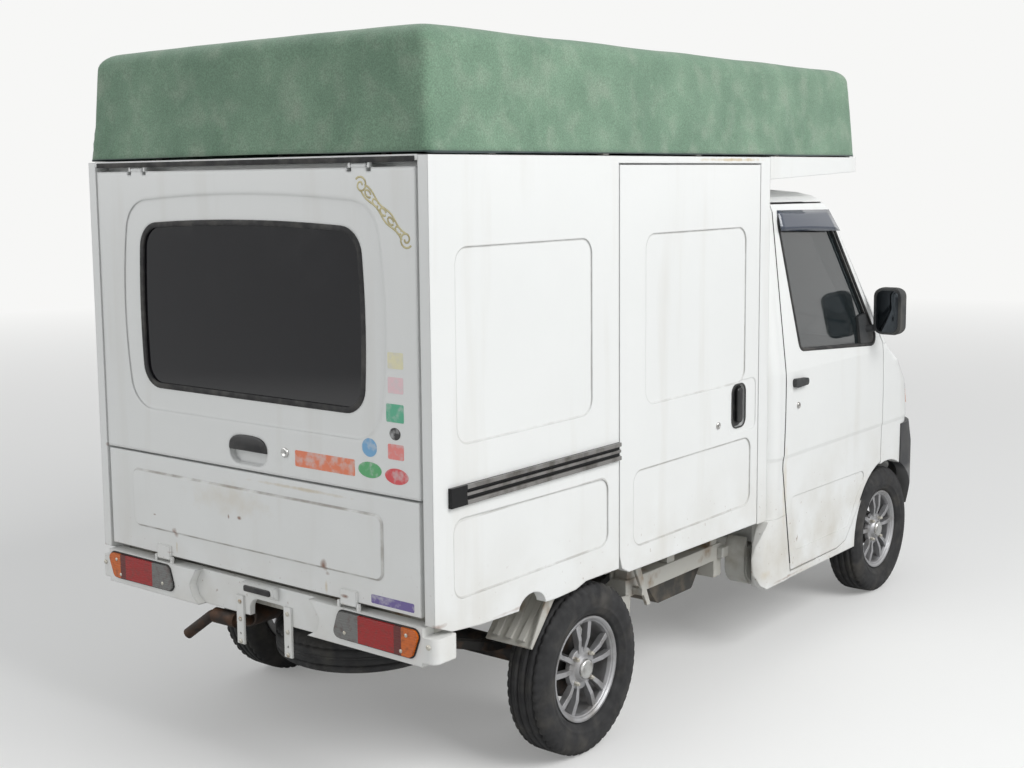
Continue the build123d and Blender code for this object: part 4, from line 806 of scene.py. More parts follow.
def makeCanvasTop():
    c = canvas
    sideSteps, endSteps, cornerSteps = c["sideSteps"], c["endSteps"], c["cornerSteps"]
    points, faces = [], []
    for z, inset in canvasRings():
        hx = c["halfWidth"] - inset
        y0, y1 = c["front"] + inset * 0.9, c["rear"] - inset
        r = max(0.004, min(c["corner"], hx * 0.9))
        row = []
        # Each corner's centre and start angle, and where the straight run after it ends
        runs = (((hx - r, y1 - r), 0, (-hx + r, y1), endSteps),
                ((-hx + r, y1 - r), 90, (-hx, y0 + r), sideSteps),
                ((-hx + r, y0 + r), 180, (hx - r, y0), endSteps),
                ((hx - r, y0 + r), 270, (hx, y1 - r), sideSteps))
        for (cx, cy), start, (bx, by), steps in runs:
            for k in range(cornerSteps + 1):
                angle = math.radians(start + 90 * k / cornerSteps)
                row.append((cx + r * math.cos(angle), cy + r * math.sin(angle)))
            ax, ay = row[-1]
            row += [(ax + (bx - ax) * k / steps, ay + (by - ay) * k / steps) for k in range(1, steps)]
        points += [canvasPoint((x, y, z), inset) for x, y in row]
    count = len(row)
    for k in range(len(points) // count - 1):
        for i in range(count):
            j = (i + 1) % count
            faces.append([k * count + i, k * count + j, (k + 1) * count + j, (k + 1) * count + i])
    # The innermost ring is a long slot, closed by rows from one side to the other
    base, end = len(points) - count, 2 * (cornerSteps + 1) + endSteps - 1
    front = end + sideSteps - 1
    rows = [(i, end - 1 - i) for i in range(end // 2, -1, -1)]
    rows += [(count - 1 - k, end + k) for k in range(sideSteps - 1)]
    rows += [(front + end - 1 - i, front + i) for i in range(end // 2 + 1)]
    for (a, b), (c2, d) in zip(rows, rows[1:]):
        face = [base + a, base + b, base + d, base + c2]
        faces.append(face if len(set(face)) == 4 else list(dict.fromkeys(face)))
    made = fromLists("canvasCover", points, faces, finishes["green_canvas"])
    thick = made.modifiers.new("cloth", "SOLIDIFY")
    thick.thickness, thick.offset = c["thickness"], -1
    settled(made)
    made.data.shade_smooth()
    fixed(made, "root", "green_canvas", "canvas_top")


makeCanvasTop()

# Wheels: grooved tyres with sidewall rings, nuts and a plain centre cap
tyre = {
    "radius": 0.2705, "half": 0.0725, "centreX": 0.650, "axles": {"front": -1.265, "rear": 0.935},
    "blocks": 54, "grooveTop": 0.019, "grooveReach": 0.032, "grooveDepth": 0.0052,
    "nutCircle": 0.055, "valveRadius": 0.136,
}


def tyreProfile(half, radius):
    side = [
        (0.0457, 0.1530), (0.0457, 0.1675), (0.0520, 0.1735), (0.0560, 0.1745), (0.0585, 0.1805),
        (half - 0.0065, 0.1925), (half - 0.0035, 0.1965), (half - 0.0045, 0.1990), (half - 0.0010, 0.2100),
        (half, 0.2220), (half - 0.0010, 0.2330), (half - 0.0042, 0.2400), (half - 0.0050, 0.2470),
        (half - 0.0100, 0.2570), (half - 0.0170, radius - 0.0050),
        (half - 0.0235, radius - 0.0012), (half - 0.0300, radius - 0.0006), (half - 0.0312, radius - 0.0068),
        (half - 0.0352, radius - 0.0068), (half - 0.0364, radius - 0.0003), (half - 0.0555, radius),
        (half - 0.0567, radius - 0.0068), (half - 0.0607, radius - 0.0068), (half - 0.0619, radius),
    ]
    return side + [(-a, r) for a, r in reversed(side)]


def makeTyre(name, centre, axis, half):
    # The shoulders have a groove at every third step, staggered from side to side
    steps = tyre["blocks"] * 3
    made = turned(name, tyreProfile(half, tyre["radius"]), centre, axis, finishes["tyre_rubber"], steps)
    index = "xyz".index(axis)
    for vertex in made.data.vertices:
        off = vertex.co - Vector(centre)
        across = off[index]
        off[index] = 0
        radius = off.length
        if radius < tyre["radius"] - tyre["grooveTop"] or abs(across) < half - tyre["grooveReach"]:
            continue
        others = [off[i] for i in range(3) if i != index]
        step = round(math.atan2(others[1], others[0]) / (2 * math.pi) * steps)
        if (step + (1 if across > 0 else 0)) % 3 == 0:
            vertex.co -= off / radius * tyre["grooveDepth"]
    return made


def makeWheel(end, side):
    body = f"wheel_{end}_{side}"
    sign = signs[side]
    centre = Vector((sign * tyre["centreX"], tyre["axles"][end], tyre["radius"]))
    made = makeTyre(f"tyreDressed_{end}_{side}", centre, "x", tyre["half"])
    fixed(made, body, "tyre_rubber", f"tyre_{end}_{side}")
    capShape = [(0.0, 0.0315), (0.010, 0.0305), (0.0125, 0.027), (0.0105, 0.021), (0.0105, 0.0)]
    cap = turned(f"hubCap_{end}_{side}", [(sign * (0.044 + d), r) for d, r in capShape], centre, "x",
                 extra["chrome"], 32)
    fixed(cap, body)
    lugs = []
    for k in range(4):
        angle = math.radians(90 * k + 45)
        way = Vector((0, -math.sin(angle), math.cos(angle)))
        lugs.append((centre + way * tyre["nutCircle"] + Vector((sign * 0.0395, 0, 0)), (sign, 0, 0)))
    screws(f"wheelNuts_{end}_{side}", lugs, 0.0076, 0.013, extra["zinc"], body, 6)
    valveWay = Vector((0, math.cos(0.6), math.sin(0.6)))
    start = centre + valveWay * tyre["valveRadius"] + Vector((sign * 0.036, 0, 0))
    stem = [start + Vector((sign * out, 0, 0)) - valveWay * inward
            for out, inward in ((0.0, -0.006), (0.012, 0.004), (0.020, 0.012))]
    fixed(tube(f"valve_{end}_{side}", stem, 0.003, extra["rubber"]), body)


for end in ("front", "rear"):
    for side in ("left", "right"):
        makeWheel(end, side)
print("wheels dressed")

# Spare under the tail
spare = {"centre": (-0.110, 1.325, 0.382), "half": 0.058, "beam": (1.2103, 1.5297)}


def makeSpareTyre():
    rubber = makeTyre("spareRubber", spare["centre"], "z", spare["half"])
    wheel = [(0.004, 0.0), (0.004, 0.055), (0.016, 0.075), (0.016, 0.110), (-0.006, 0.135), (-0.030, 0.140),
             (-0.040, 0.152), (-0.045, 0.166), (-0.047, 0.166), (-0.043, 0.150), (-0.034, 0.136),
             (-0.010, 0.130), (0.010, 0.108), (0.010, 0.078), (-0.002, 0.055), (-0.002, 0.0)]
    disc = turned("spareWheelDisc", [(-a, r) for a, r in wheel], spare["centre"], "z",
                  finishes["dark_steel"], 48)
    x, y, z = spare["centre"]
    hangerShape = [(0.0, 0.0), (0.0, 0.030), (0.085, 0.030), (0.085, 0.018), (0.118, 0.018), (0.118, 0.0)]
    hanger = turned("spareHanger", hangerShape, (x, y, z), "z", finishes["dark_steel"], 20)
    y0, y1 = spare["beam"]
    outline = roundedLoop([(x - 0.03, y0), (x + 0.03, y0), (x + 0.03, y1), (x - 0.03, y1)], 0.004)
    beam = slab("spareBeam", outline, "top", 0.470, 0.500, finishes["dark_steel"], 0.003)
    piece = joinedPiece("spareWheelDressed", [rubber, disc, hanger, beam])
    fixed(piece, "root", "tyre_rubber", "spare_wheel")


makeSpareTyre()
print("spare done")

# Liftgate and tailgate: seal, handle, lock, plain labels and a gold scroll
gate = {
    "face": 1.677, "glassWidths": (0.470, 0.485, 0.474), "glassHeights": (1.664, 1.400, 1.159),
    "crown": 0.016,
    "corner": 0.066, "sealWidth": 0.017, "handleHalf": 0.084, "handleBase": 1.000, "handleRise": 0.049,
    "handleSteps": 26, "lock": (-0.160, 1.015), "scrollStart": (-0.494, 1.776), "scrollEnd": (-0.640, 1.646),
    "scrollWidth": 0.011, "curl": 0.024, "leaves": 5, "header": (-0.682, 0.682, 1.8425, 1.8575, 0.002, 2),
}
# Name, colour, middle (x, z), half size, oval or not, body
labels = [
    ("labelOrange", (0.80, 0.24, 0.13), (-0.3215, 1.004), (0.1195, 0.0235), False, "liftgate"),
    ("labelBlue", (0.20, 0.42, 0.66), (-0.4985, 1.068), (0.028, 0.026), True, "liftgate"),
    ("labelGreenOval", (0.12, 0.42, 0.18), (-0.4985, 1.0055), (0.044, 0.0225), True, "liftgate"),
    ("labelRed", (0.70, 0.10, 0.11), (-0.5985, 0.9990), (0.043, 0.022), True, "liftgate"),
    ("labelPink", (0.82, 0.27, 0.25), (-0.5970, 1.0660), (0.029, 0.021), False, "liftgate"),
    ("labelBlack", (0.04, 0.04, 0.04), (-0.5950, 1.1155), (0.020, 0.017), True, "liftgate"),
    ("labelGreen", (0.12, 0.46, 0.29), (-0.5960, 1.1720), (0.032, 0.025), False, "liftgate"),
    ("labelRose", (0.82, 0.60, 0.63), (-0.6000, 1.2480), (0.028, 0.022), False, "liftgate"),
    ("labelYellow", (0.80, 0.76, 0.52), (-0.6010, 1.3150), (0.028, 0.022), False, "liftgate"),
    ("labelPurple", (0.17, 0.13, 0.34), (-0.5735, 0.6420), (0.080, 0.0125), False, "tailgate"),
]


def bowedLoop(widths, heights, crown, corner):
    (top, mid, low), (topZ, midZ, lowZ) = widths, heights
    shaped = []
    for x, z in dense(roundedLoop([(top, topZ), (-top, topZ), (-low, lowZ), (low, lowZ)], corner, 8)):
        share = (z - lowZ) / (topZ - lowZ)
        line = low + (top - low) * share
        bow = (low * (z - midZ) * (z - topZ) / ((lowZ - midZ) * (lowZ - topZ))
               + mid * (z - lowZ) * (z - topZ) / ((midZ - lowZ) * (midZ - topZ))
               + top * (z - lowZ) * (z - midZ) / ((topZ - lowZ) * (topZ - midZ))) / line
        shaped.append(Vector((x * bow, z + crown * share * (1 - (x / line) ** 2))))
    return shaped


def makeGatePieces():
    face = gate["face"]
    loop = bowedLoop(gate["glassWidths"], gate["glassHeights"], gate["crown"], gate["corner"])
    seal = ring("gateGlassSeal", grown(loop, 0.005), "rear", face - 0.0100, face - 0.0015, gate["sealWidth"],
                extra["rubber"], 0.0025)
    fixed(seal, "liftgate")
    dome = []
    for k in range(gate["handleSteps"] + 1):
        a = math.pi * k / gate["handleSteps"]
        dome.append((gate["handleHalf"] * math.copysign(abs(math.cos(a)) ** 0.75, math.cos(a)),
                     gate["handleBase"] + gate["handleRise"] * max(0.0, math.sin(a)) ** 0.62))
    fixed(slab("gateHandle", dome, "rear", face - 0.0195, face + 0.0045, extra["black"], 0.005), "liftgate")
    lockShape = [(0.0, 0.0145), (0.004, 0.0145), (0.0062, 0.012), (0.0062, 0.009), (0.0045, 0.0075),
                 (0.0045, 0.0)]
    lockX, lockZ = gate["lock"]
    fixed(turned("gateLock", lockShape, (lockX, face, lockZ), "y", extra["chrome"], 28), "liftgate")
    for name, tint, middle, size, oval, body in labels:
        outline = ovalLoop(middle, size) if oval else roundedRect(
            middle[0] - size[0], middle[0] + size[0], middle[1] - size[1], middle[1] + size[1], 0.004, 3)
        pale = [0.45 * c + 0.36 for c in tint]
        finish = mottled(name + "Vinyl", tint, pale, 0.42, scale=45, spread=(0.46, 0.66), bump=0.05)
        fixed(slab(name, outline, "rear", face - 0.0002, face + 0.0007, finish), body)
    # The scroll: two long lines with a curl at each end and leaves between them
    start, end = Vector(gate["scrollStart"]), Vector(gate["scrollEnd"])
    along = (end - start).normalized()
    across = Vector((-along.y, along.x))
    strokes = []
    for side in (-1, 1):
        line = []
        for k in range(15):
            off = gate["scrollWidth"] + 0.004 * math.sin(k * 0.9)
            line.append(start + along * (end - start).length * k / 14 + across * side * off)
        curl = []
        for k in range(22):
            angle, reach = k * 0.42, gate["curl"] * (1 - k / 26)
            way = along * math.cos(angle) * side + across * math.sin(angle) * side
            curl.append((end if side > 0 else start) + along * side * 0.010 + way * reach)
        strokes += [line, curl]
    for k in range(gate["leaves"]):
        base = start + (end - start) * (k + 0.7) / (gate["leaves"] + 0.4)
        strokes.append([base + along * 0.013 * math.cos(t * 0.7) + across * 0.008 * math.sin(t * 0.7)
                        for t in range(9)])
    goldLines = [tube(f"scroll{n}", [(p.x, face, p.y) for p in stroke], 0.0030, extra["gold"], sides=2)
                 for n, stroke in enumerate(strokes)]
    scroll = joinedPiece("goldScroll", goldLines)
    for vertex in scroll.data.vertices:
        vertex.co.y = face + (vertex.co.y - face) * 0.25
    fixed(scroll, "liftgate")
    # A black rubber strip over the gap under the header, also standing in as painted shade for the shadow in
    # that gap
    fixed(slab("headerRubber", roundedRect(*gate["header"]), "rear", face + 0.0003, face + 0.0028,
               extra["rubber"], 0.001))


makeGatePieces()

# Rear valance: lamp gaskets, screws, plate lamp and strip bolts
rearEnd = {
    "face": 1.688, "lampOutline": [(0.690, 0.590), (0.378, 0.590), (0.352, 0.510), (0.658, 0.507)],
    "lampScrews": [(0.640, 0.570), (0.405, 0.530), (0.620, 0.522)], "lampFace": 1.6975,
    "plateX": (-0.137, 0.073), "plateZ": (0.525, 0.470, 0.400), "capBolt": (0.712, 0.548),
    "plateLamp": (-0.085, 0.030, 0.571, 0.590, 0.006),
}


def makeRearPieces():
    face = rearEnd["face"]
    for side, sign in signs.items():
        corners = rearEnd["lampOutline"]
        if sign < 0:
            corners = [(-x, z) for x, z in reversed(corners)]
        loop = roundedLoop(corners, 0.020)
        gasket = ring(f"lampGasket_{side}", grown(loop, 0.003), "rear", face - 0.004, face + 0.0022, 0.005,
                      extra["rubber"])
        fixed(gasket)
        places = [((sign * x, rearEnd["lampFace"], z), (0, 1, 0)) for x, z in rearEnd["lampScrews"]]
        screws(f"lampScrews_{side}", places, 0.0055, 0.003, extra["zinc"])
        boltX, boltZ = rearEnd["capBolt"]
        screws(f"capBolts_{side}", [((sign * boltX, face, boltZ), (0, 1, 0))], 0.008, 0.005, extra["zinc"],
               sides=6)
    fixed(slab("plateLamp", roundedRect(*rearEnd["plateLamp"]), "rear", face - 0.008, face + 0.001,
               extra["black"], 0.002))
    places = [((x, face - 0.0225, z), (0, 1, 0)) for x in rearEnd["plateX"] for z in rearEnd["plateZ"]]
    screws("stripBolts", places, 0.0075, 0.005, extra["zinc"], sides=6)


makeRearPieces()
print("rear pieces made")

# Sides of the box: cup liners and levers of the slide doors, and their locks
slide = {"face": 0.727, "cup": (-0.019, 0.074, 0.909, 1.061), "lock": (0.173, 0.934)}


def sideLock(name, sign, place, seat, body):
    # A round lock on a side, its collar starting at that height
    shape = [(seat, 0.0125), (0.0035, 0.0125), (0.005, 0.0100), (0.005, 0.0075), (0.0035, 0.0065),
             (0.0035, 0.0)]
    fixed(turned(name, [(sign * a, r) for a, r in shape], place, "x", extra["chrome"], 24), body)


def makeSlidePieces():
    face = slide["face"]
    y0, y1, z0, z1 = slide["cup"]
    for side, sign in signs.items():
        liner = slab(f"slideCup_{side}", roundedRect(y0 + 0.001, y1 - 0.001, z0 + 0.001, z1 - 0.001, 0.029),
                     side, face - 0.0178, face - 0.014, extra["black"], 0.0015)
        rim = ring(f"slideCupRim_{side}", grown(roundedRect(y0, y1, z0, z1, 0.030), 0.004), side,
                   face - 0.0022, face + 0.0012, 0.006, extra["black"], 0.001)
        lever = slab(f"slideLever_{side}",
                     roundedRect(y0 + 0.014, y0 + 0.050, z0 + 0.012, z1 - 0.012, 0.016), side,
                     face - 0.0145, face - 0.001, extra["black"], 0.0035)
        fixed(joinedPiece(f"slideHandle_{side}", [liner, rim, lever]))
        sideLock(f"slideLock_{side}", sign, (sign * face, *slide["lock"]), 0.0, "root")


makeSlidePieces()

# Doors of the cab: window seals, visors, locks, mirror glass and dark grey inner cards, darkened as painted
# shade inside the cab
doors = {
    "window": [(-0.360, 1.652), (-0.782, 1.646), (-1.148, 1.095), (-0.455, 1.140)], "lock": (-0.417, 0.928),
    "visor": [(-0.362, 1.664), (-0.792, 1.658), (-0.850, 1.572), (-0.352, 1.590)],
    "edge": [(-0.3255, 1.660), (-0.3215, 1.035), (-0.3055, 0.700), (-0.3840, 0.320)],
    "mirror": (0.764, 0.856, 1.152, 1.323, -1.050), "visorRows": 5, "visorColumns": 14, "visorLift": 0.014,
    "visorBulge": 0.006, "linerLift": 0.0016, "linerFacing": 0.60, "linerLeast": 2e-4,
}


def linedInside(name, node, body, inward, material):
    # A thin lining laid over the faces of a node that look towards a point in the cab
    source = nodes[node].data
    points, faces = [], []
    for face in source.polygons:
        toward = (Vector(inward) - face.center).normalized()
        if face.normal.dot(toward) < doors["linerFacing"] or face.area < doors["linerLeast"]:
            continue
        base = len(points)
        points += [source.vertices[i].co + face.normal * doors["linerLift"] for i in face.vertices]
        faces.append(list(range(base, base + len(face.vertices))))
    made = fromLists(name, points, faces, material, smooth=False)
    fixed(made, body)


def doorOuter(tree, side, y, z):
    # How far out the skin lies beside the gap of the door
    return max(abs(onSkin(tree, side, y + step, z).x) for step in (-0.012, 0.012))


def makeDoorPieces():
    for side, sign in signs.items():
        body = f"door_{side}"
        skin = treeOf(f"cab_door_{side}")
        loop = dense(grown(roundedLoop(doors["window"], 0.030), 0.005), 0.02)
        line = [onSkin(skin, side, *p, -0.001) for p in loop]
        seal = tube(f"windowSeal_{side}", line, 0.0062, extra["rubber"], True, 2)
        inner = tube(f"windowSealInner_{side}", [p - Vector((sign * 0.010, 0, 0)) for p in line], 0.0075,
                     extra["rubber"], True, 2)
        fixed(joinedPiece(f"windowRubber_{side}", [seal, inner]), body)
        corners = [onSkin(skin, side, y, z, 0.004) for y, z in doors["visor"]]
        rows, across = doors["visorRows"], doors["visorColumns"]
        points = []
        for r in range(rows):
            down = r / (rows - 1)
            for k in range(across):
                share = k / (across - 1)
                top, low = corners[0].lerp(corners[1], share), corners[3].lerp(corners[2], share)
                bulge = doors["visorLift"] * down
                bulge += doors["visorBulge"] * math.sin(math.pi * share) * math.sin(math.pi * down)
                points.append(top.lerp(low, down) + Vector((sign * bulge, 0, 0)))
        faces = [[r * across + k, r * across + k + 1, (r + 1) * across + k + 1, (r + 1) * across + k]
                 for r in range(rows - 1) for k in range(across - 1)]
        visor = fromLists(f"sideVisor_{side}", points, faces, extra["visor"])
        thick = visor.modifiers.new("sheet", "SOLIDIFY")
        thick.thickness = 0.0025
        fixed(settled(visor), body)
        sideLock(f"doorLock_{side}", sign, onSkin(skin, side, *doors["lock"]), -0.002, body)
        shell = treeOf("cab_shell", "cab_sills", f"cab_door_{side}")
        corners = [Vector(p) for p in doors["edge"]]
        gapLine = [a.lerp(b, k / 12) for a, b in zip(corners, corners[1:]) for k in range(12)] + corners[-1:]
        line = [Vector((sign * (doorOuter(shell, side, *p) - 0.0035), *p)) for p in gapLine]
        fixed(tube(f"doorRubber_{side}", line, 0.0042, extra["rubber"], sides=2))
        x0, x1, z0, z1, y = doors["mirror"]
        loop = roundedRect(*sorted((sign * x0, sign * x1)), z0, z1, 0.028)
        glass = slab(f"mirrorGlass_{side}", loop, "rear", y - 0.001, y + 0.0012, extra["mirrorGlass"],
                     0.0008)
        fixed(glass, body)
        # Painted shade: a dark grey card over the door's inner faces
        linedInside(f"doorCardShade_{side}", f"cab_door_{side}", body, (-sign * 3.0, -0.75, 1.0),
                    extra["darkInside"])


makeDoorPieces()
# Painted shade: a dark grey lining over the inner faces of the cab
linedInside("cabLining", "cab_shell", "root", (0.0, -0.75, 1.15), extra["darkInside"])
print("door pieces made")

# Front of the cab: screen seal, wipers, lamps behind the lenses, side lamps and fog lamps
front = {
    "screen": [(0.535, 1.630), (-0.535, 1.630), (-0.590, 1.092), (0.590, 1.092)], "screenCorner": 0.060,
    "wipers": [(0.30, 0.02), (-0.24, -0.52)], "bulbs": (0.560, 0.832), "fog": (0.470, 0.500),
    "sideLamp": (-1.492, 0.824),
    "bowl": [(0.008, 0.050), (0.016, 0.046), (0.024, 0.036), (0.029, 0.020), (0.030, 0.010), (0.016, 0.009),
             (0.013, 0.0)],
    "fogBowl": [(0.030, 0.046), (0.014, 0.046), (0.010, 0.042), (0.012, 0.036), (0.006, 0.020),
                (0.004, 0.0)],
}


def makeFrontPieces():
    body = treeOf("cab_shell", "cab_front")
    loop = dense(grown(roundedLoop(front["screen"], front["screenCorner"]), 0.006), 0.02)
    seal = tube("screenSeal", [onSkin(body, "front", *p, -0.001) for p in loop], 0.0075, extra["rubber"],
                True, 2)
    fixed(seal)
    glass = treeOf("cab_glass")
    for n, (pivotX, tipX) in enumerate(front["wipers"]):
        pivot = onSkin(body, "front", pivotX, 1.070, 0.004)
        mid = onSkin(glass, "front", pivotX * 0.5 + tipX * 0.5, 1.165, 0.022)
        blade = [onSkin(glass, "front", tipX + (pivotX - tipX) * k / 10, 1.150 + 0.035 * k / 10, 0.010)
                 for k in range(11)]
        bend = pivot.lerp(mid, 0.35) + Vector((0, -0.012, 0.004))
        arm = tube(f"wiperArm{n}", [pivot, bend, mid], 0.005, extra["black"])
        rubber = tube(f"wiperBlade{n}", blade, 0.0055, extra["black"])
        hubShape = [(0.004, 0.013), (-0.010, 0.013), (-0.015, 0.009), (-0.015, 0.0)]
        hub = turned(f"wiperHub{n}", hubShape, pivot, "y", extra["black"], 18)
        fixed(joinedPiece(f"wiper_{n}", [arm, rubber, hub]))
    lens, bumper = treeOf("headlamps"), treeOf("front_bumper")
    for side, sign in signs.items():
        place = onSkin(lens, "front", sign * front["bulbs"][0], front["bulbs"][1])
        fixed(turned(f"lampBowl_{side}", front["bowl"], place, "y", extra["chrome"], 32))
        fogX, fogZ = front["fog"]
        edge = onSkin(bumper, "front", sign * (fogX - 0.055), fogZ)
        fixed(turned(f"fogLamp_{side}", front["fogBowl"], (sign * fogX, edge.y, fogZ), "y",
                     finishes["lamp_clear"], 32))
        y, z = front["sideLamp"]
        fixed(skinPlate(f"sideLamp_{side}", lens, side,
                        roundedRect(y - 0.030, y + 0.030, z - 0.032, z + 0.032, 0.008),
                        -0.002, 0.003, extra["amber"], 0.001))


makeFrontPieces()
print("front pieces made")

# Cab inside: padded seats, mirror, levers, pedals, dials and mat
cabin = {
    "seatX": (0.350, -0.350), "frontY": -0.880, "rearY": -0.300, "base": 0.6403, "pull": 0.010,
    "crown": 0.016, "rounding": {"Cushion": 0.020, "Back": 0.020, "Rest": 0.014},
    "pedalX": (-0.440, -0.340, -0.235), "pedalSole": (0.030, 0.475, 0.540, 0.008), "mirrorY": -0.786,
    "mirrorHead": (-0.115, 0.115, 1.535, 1.590, 0.020), "mirrorGlass": (-0.107, 0.107, 1.541, 1.584, 0.016),
    "mirrorStalk": [(0, -0.795, 1.570), (0, -0.810, 1.630), (0, -0.800, 1.690)],
    "gearLever": [(0.0, -0.960, 0.39), (0.0, -0.955, 0.60), (0.0, -0.930, 0.705)],
    "gearBoot": [(0.0, 0.062), (0.010, 0.060), (0.040, 0.034), (0.075, 0.020), (0.110, 0.012)],
    "gearKnob": [(-0.022, 0.0), (-0.018, 0.014), (0.0, 0.023), (0.016, 0.020), (0.024, 0.0)],
    "handBrake": [(0.06, -0.900, 0.645), (0.06, -0.960, 0.66), (0.06, -1.060, 0.735)],
    "mat": (-0.390, 0.390, -1.500, -0.925, 0.020),
}


def pad(name, corners, x0, x1, crown, pull, rounding):
    # A crowned closed form over a side outline of four (y, z) corners, its edges drawn in between them
    work = bmesh.new()
    bmesh.ops.create_cube(work, size=2.0)
    bmesh.ops.subdivide_edges(work, edges=work.edges, cuts=11, use_grid_fill=True)
    a, b, c, d = (Vector(corner) for corner in corners)
    middle, ahead = (a + b + c + d) / 4, (b - a).normalized()
    middleX, halfX = (x0 + x1) / 2, (x1 - x0) / 2
    for vertex in work.verts:
        u, v, w = vertex.co
        reach = (1 - u * u) * (1 - v * v), (1 - u * u) * (1 - w * w), (1 - v * v) * (1 - w * w)
        edge = sorted((abs(u), abs(v), abs(w)))
        shrink = rounding * (edge[1] ** 6) * (0.7 + 0.5 * edge[0] ** 4)
        low = a.lerp(b, (v + 1) / 2)
        high = d.lerp(c, (v + 1) / 2)
        place = low.lerp(high, (w + 1) / 2)
        place += (middle - place).normalized() * shrink if (middle - place).length > 1e-6 else Vector((0, 0))
        up = (high - low).normalized()
        place += up * math.copysign(1, w) * crown * reach[0] * (1 if abs(w) > 0.99 else 0)
        place += ahead * math.copysign(1, v) * crown * 0.6 * reach[1] * (1 if abs(v) > 0.99 else 0)
        x = middleX + u * halfX - math.copysign(1, u) * shrink * (abs(u) > 0.3)
        x += math.copysign(1, u) * crown * 0.4 * reach[2] * (1 if abs(u) > 0.99 else 0)
        seam = abs(abs(w) - 0.45) < 0.1 and abs(v) > 0.99 or abs(abs(u) - 0.55) < 0.07 and (abs(w) > 0.99)
        if seam:
            place += (middle - place).normalized() * pull * 0.5
        vertex.co = (x, place.x, place.y)
    mesh = bpy.data.meshes.new(name)
    work.to_mesh(mesh)
    work.free()
    made = linked(name, mesh, finishes["seat_fabric"])
    smoothing = made.modifiers.new("soft", "SUBSURF")
    smoothing.levels = 1
    settled(made)
    made.data.shade_smooth()
    return made


def makeSeats():
    frontY, rearY, base = cabin["frontY"], cabin["rearY"], cabin["base"]
    first = True
    for n, x in enumerate(cabin["seatX"]):
        pads = [
            ("Cushion", [(frontY, base), (rearY - 0.112, base), (rearY - 0.112, base + 0.104),
                         (frontY + 0.008, base + 0.136)], 0.252),
            ("Back", [(rearY - 0.150, base + 0.055), (rearY, base + 0.050), (rearY + 0.040, base + 0.590),
                      (rearY - 0.045, base + 0.600)], 0.240),
            ("Rest", [(rearY - 0.036, base + 0.600), (rearY + 0.034, base + 0.594),
                      (rearY + 0.042, base + 0.752), (rearY - 0.022, base + 0.757)], 0.122),
        ]
        for label, corners, half in pads:
            made = pad(f"seat{label}_{n}", corners, x - half, x + half, cabin["crown"], cabin["pull"],
                       cabin["rounding"][label])
            fixed(made, "root", "seat_fabric", *(["seats"] if first else []))
            first = False
        posts = []
        for k, dx in enumerate((-0.06, 0.06)):
            line = [(x + dx, rearY - 0.002, base + 0.570), (x + dx, rearY + 0.001, base + 0.640)]
            posts.append(tube(f"restPost{n}{k}", line, 0.006, extra["chrome"]))
        fixed(joinedPiece(f"restPosts_{n}", posts))


def makeCabinPieces():
    black, y = extra["black"], cabin["mirrorY"]
    head = slab("cabinMirrorHead", roundedRect(*cabin["mirrorHead"]), "rear", -0.800, y, black, 0.005)
    glass = slab("cabinMirrorGlass", roundedRect(*cabin["mirrorGlass"]), "rear", y, -0.7848,
                 extra["mirrorGlass"])
    stalk = tube("cabinMirrorStalk", cabin["mirrorStalk"], 0.007, black)
    fixed(joinedPiece("cabinMirror", [head, glass, stalk]))
    lever = tube("gearLever", cabin["gearLever"], 0.008, black)
    boot = turned("gearBoot", cabin["gearBoot"], (0.0, -0.960, 0.392), "z", extra["rubber"], 24)
    knob = turned("gearKnob", cabin["gearKnob"], (0.0, -0.928, 0.715), "z", black, 24)
    fixed(joinedPiece("gearShift", [lever, boot, knob]))
    fixed(tube("handBrakeBar", cabin["handBrake"], 0.010, black))
    pedals = []
    half, *sizes = cabin["pedalSole"]
    for k, x in enumerate(cabin["pedalX"]):
        sole = roundedRect(x - half, x + half, *sizes)
        pedals.append(slab(f"pedalPad{k}", sole, "rear", -1.395, -1.385, extra["rubber"], 0.003))
        arm = [(x, -1.392, 0.515), (x, -1.425, 0.66), (x, -1.46, 0.80)]
        pedals.append(tube(f"pedalArm{k}", arm, 0.007, finishes["dark_steel"]))
    fixed(joinedPiece("pedals", pedals))
    dash = treeOf("dashboard")
    # Rounded outline, lowest and highest face over the dash, finish and edge
    panels = [
        ("dialHood", (-0.440, -0.240, 0.935, 1.012, 0.018), (-0.004, 0.016), extra["black"], 0.005),
        ("dialFace", (-0.428, -0.252, 0.945, 1.002, 0.012), (0.0155, 0.0172), extra["dial"], 0.0),
        ("radioPanel", (-0.090, 0.090, 0.925, 0.985, 0.006), (-0.003, 0.005), extra["black"], 0.002),
        ("gloveLid", (0.180, 0.520, 0.920, 1.000, 0.012), (-0.003, 0.005), finishes["grey_plastic"], 0.003),
    ]
    hood, dials, radio, glove = [skinPlate(name, dash, "rear", roundedRect(*outline), *faces, finish, edge)
                                 for name, outline, faces, finish, edge in panels]
    fixed(joinedPiece("dialCluster", [hood, dials]))
    fixed(radio)
    fixed(glove)
    fixed(slab("floorMat", roundedRect(*cabin["mat"]), "top", 0.3925, 0.3975, extra["rubber"], 0.002))


makeSeats()
makeCabinPieces()
print("cab inside made")

makeCamera()
for name in ("key", "fill"):
    makeLight(name + "Light", *(lightSetup[name + what] for what in ("Place", "Energy", "Size")))


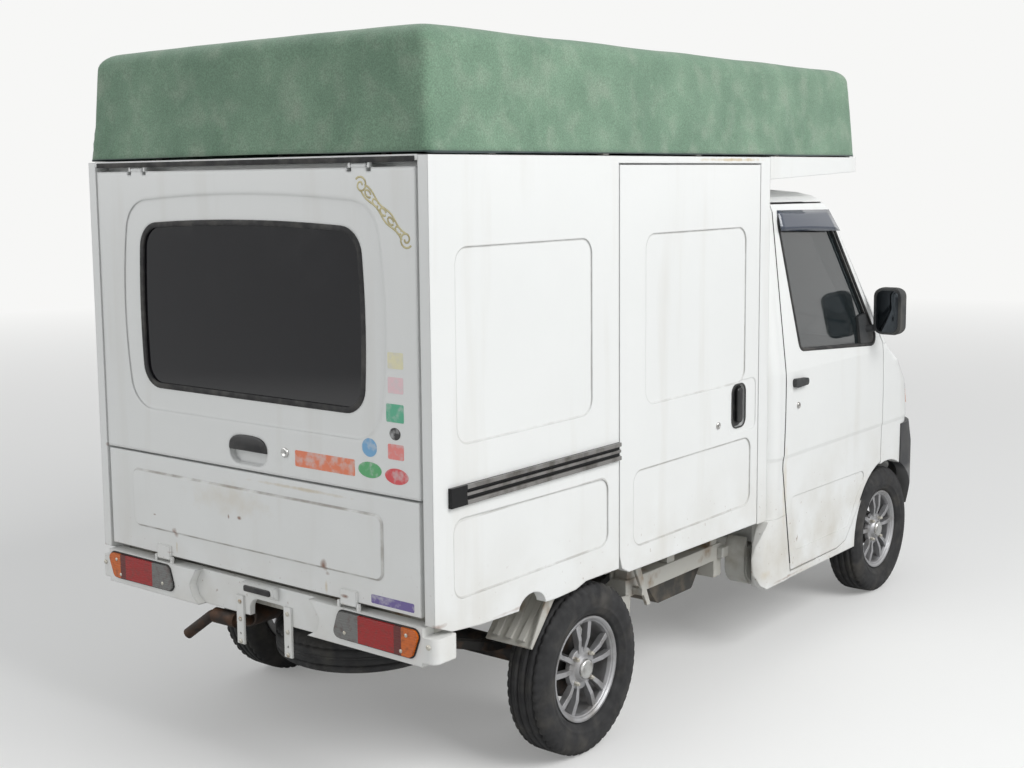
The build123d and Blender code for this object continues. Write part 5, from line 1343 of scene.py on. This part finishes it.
def makeStage():
    floorFinish, tree, shader, coords = newFinish("paleFloor", lightSetup["floorTint"], 0.9)
    # Only the camera sees the floor paler, melting into the backdrop far out
    rays = tree.nodes.new("ShaderNodeLightPath").outputs
    tint = mixColour(tree, rays["Is Camera Ray"], lightSetup["floorTint"], lightSetup["floorSeen"])
    paint(tree, shader, tint)
    far = addNode(tree, "ShaderNodeVectorMath", {0: coords}, operation="LENGTH").outputs["Value"]
    melt = ramp(tree, far, *lightSetup["glowReach"], *lightSetup["floorGlow"])
    seen = times(tree, melt, rays["Is Camera Ray"])
    glow = addNode(tree, "ShaderNodeEmission", {"Color": (*lightSetup["backdrop"], 1), "Strength": 1.0})
    mixed = addNode(tree, "ShaderNodeMixShader", {0: seen, 1: shader.outputs[0], 2: glow.outputs[0]})
    tree.links.new(mixed.outputs[0], tree.nodes["Material Output"].inputs[0])
    half = lightSetup["floorHalf"]
    corners = [(-half, -half, 0), (half, -half, 0), (half, half, 0), (-half, half, 0)]
    floor = fromLists("studioFloor", corners, [[0, 1, 2, 3]], floorFinish, smooth=False, clean=False)
    world = bpy.data.worlds.new("studioWorld")
    bpy.context.scene.world = world
    world.use_nodes = True
    tree = world.node_tree
    tree.nodes.clear()
    rays = tree.nodes.new("ShaderNodeLightPath").outputs
    other = maths(tree, "ADD", rays["Is Glossy Ray"], rays["Is Transmission Ray"])
    seen = maths(tree, "ADD", rays["Is Camera Ray"], other, True)
    light = addNode(tree, "ShaderNodeBackground", {"Color": (*lightSetup["skyTint"], 1),
                                                   "Strength": lightSetup["skyStrength"]})
    backdrop = addNode(tree, "ShaderNodeBackground", {"Color": (*lightSetup["backdrop"], 1),
                                                      "Strength": 1.0})
    mixed = addNode(tree, "ShaderNodeMixShader", {0: seen, 1: light.outputs[0], 2: backdrop.outputs[0]})
    result = tree.nodes.new("ShaderNodeOutputWorld")
    tree.links.new(mixed.outputs[0], result.inputs[0])
    bpy.context.scene.view_settings.view_transform = "Standard"


makeStage()
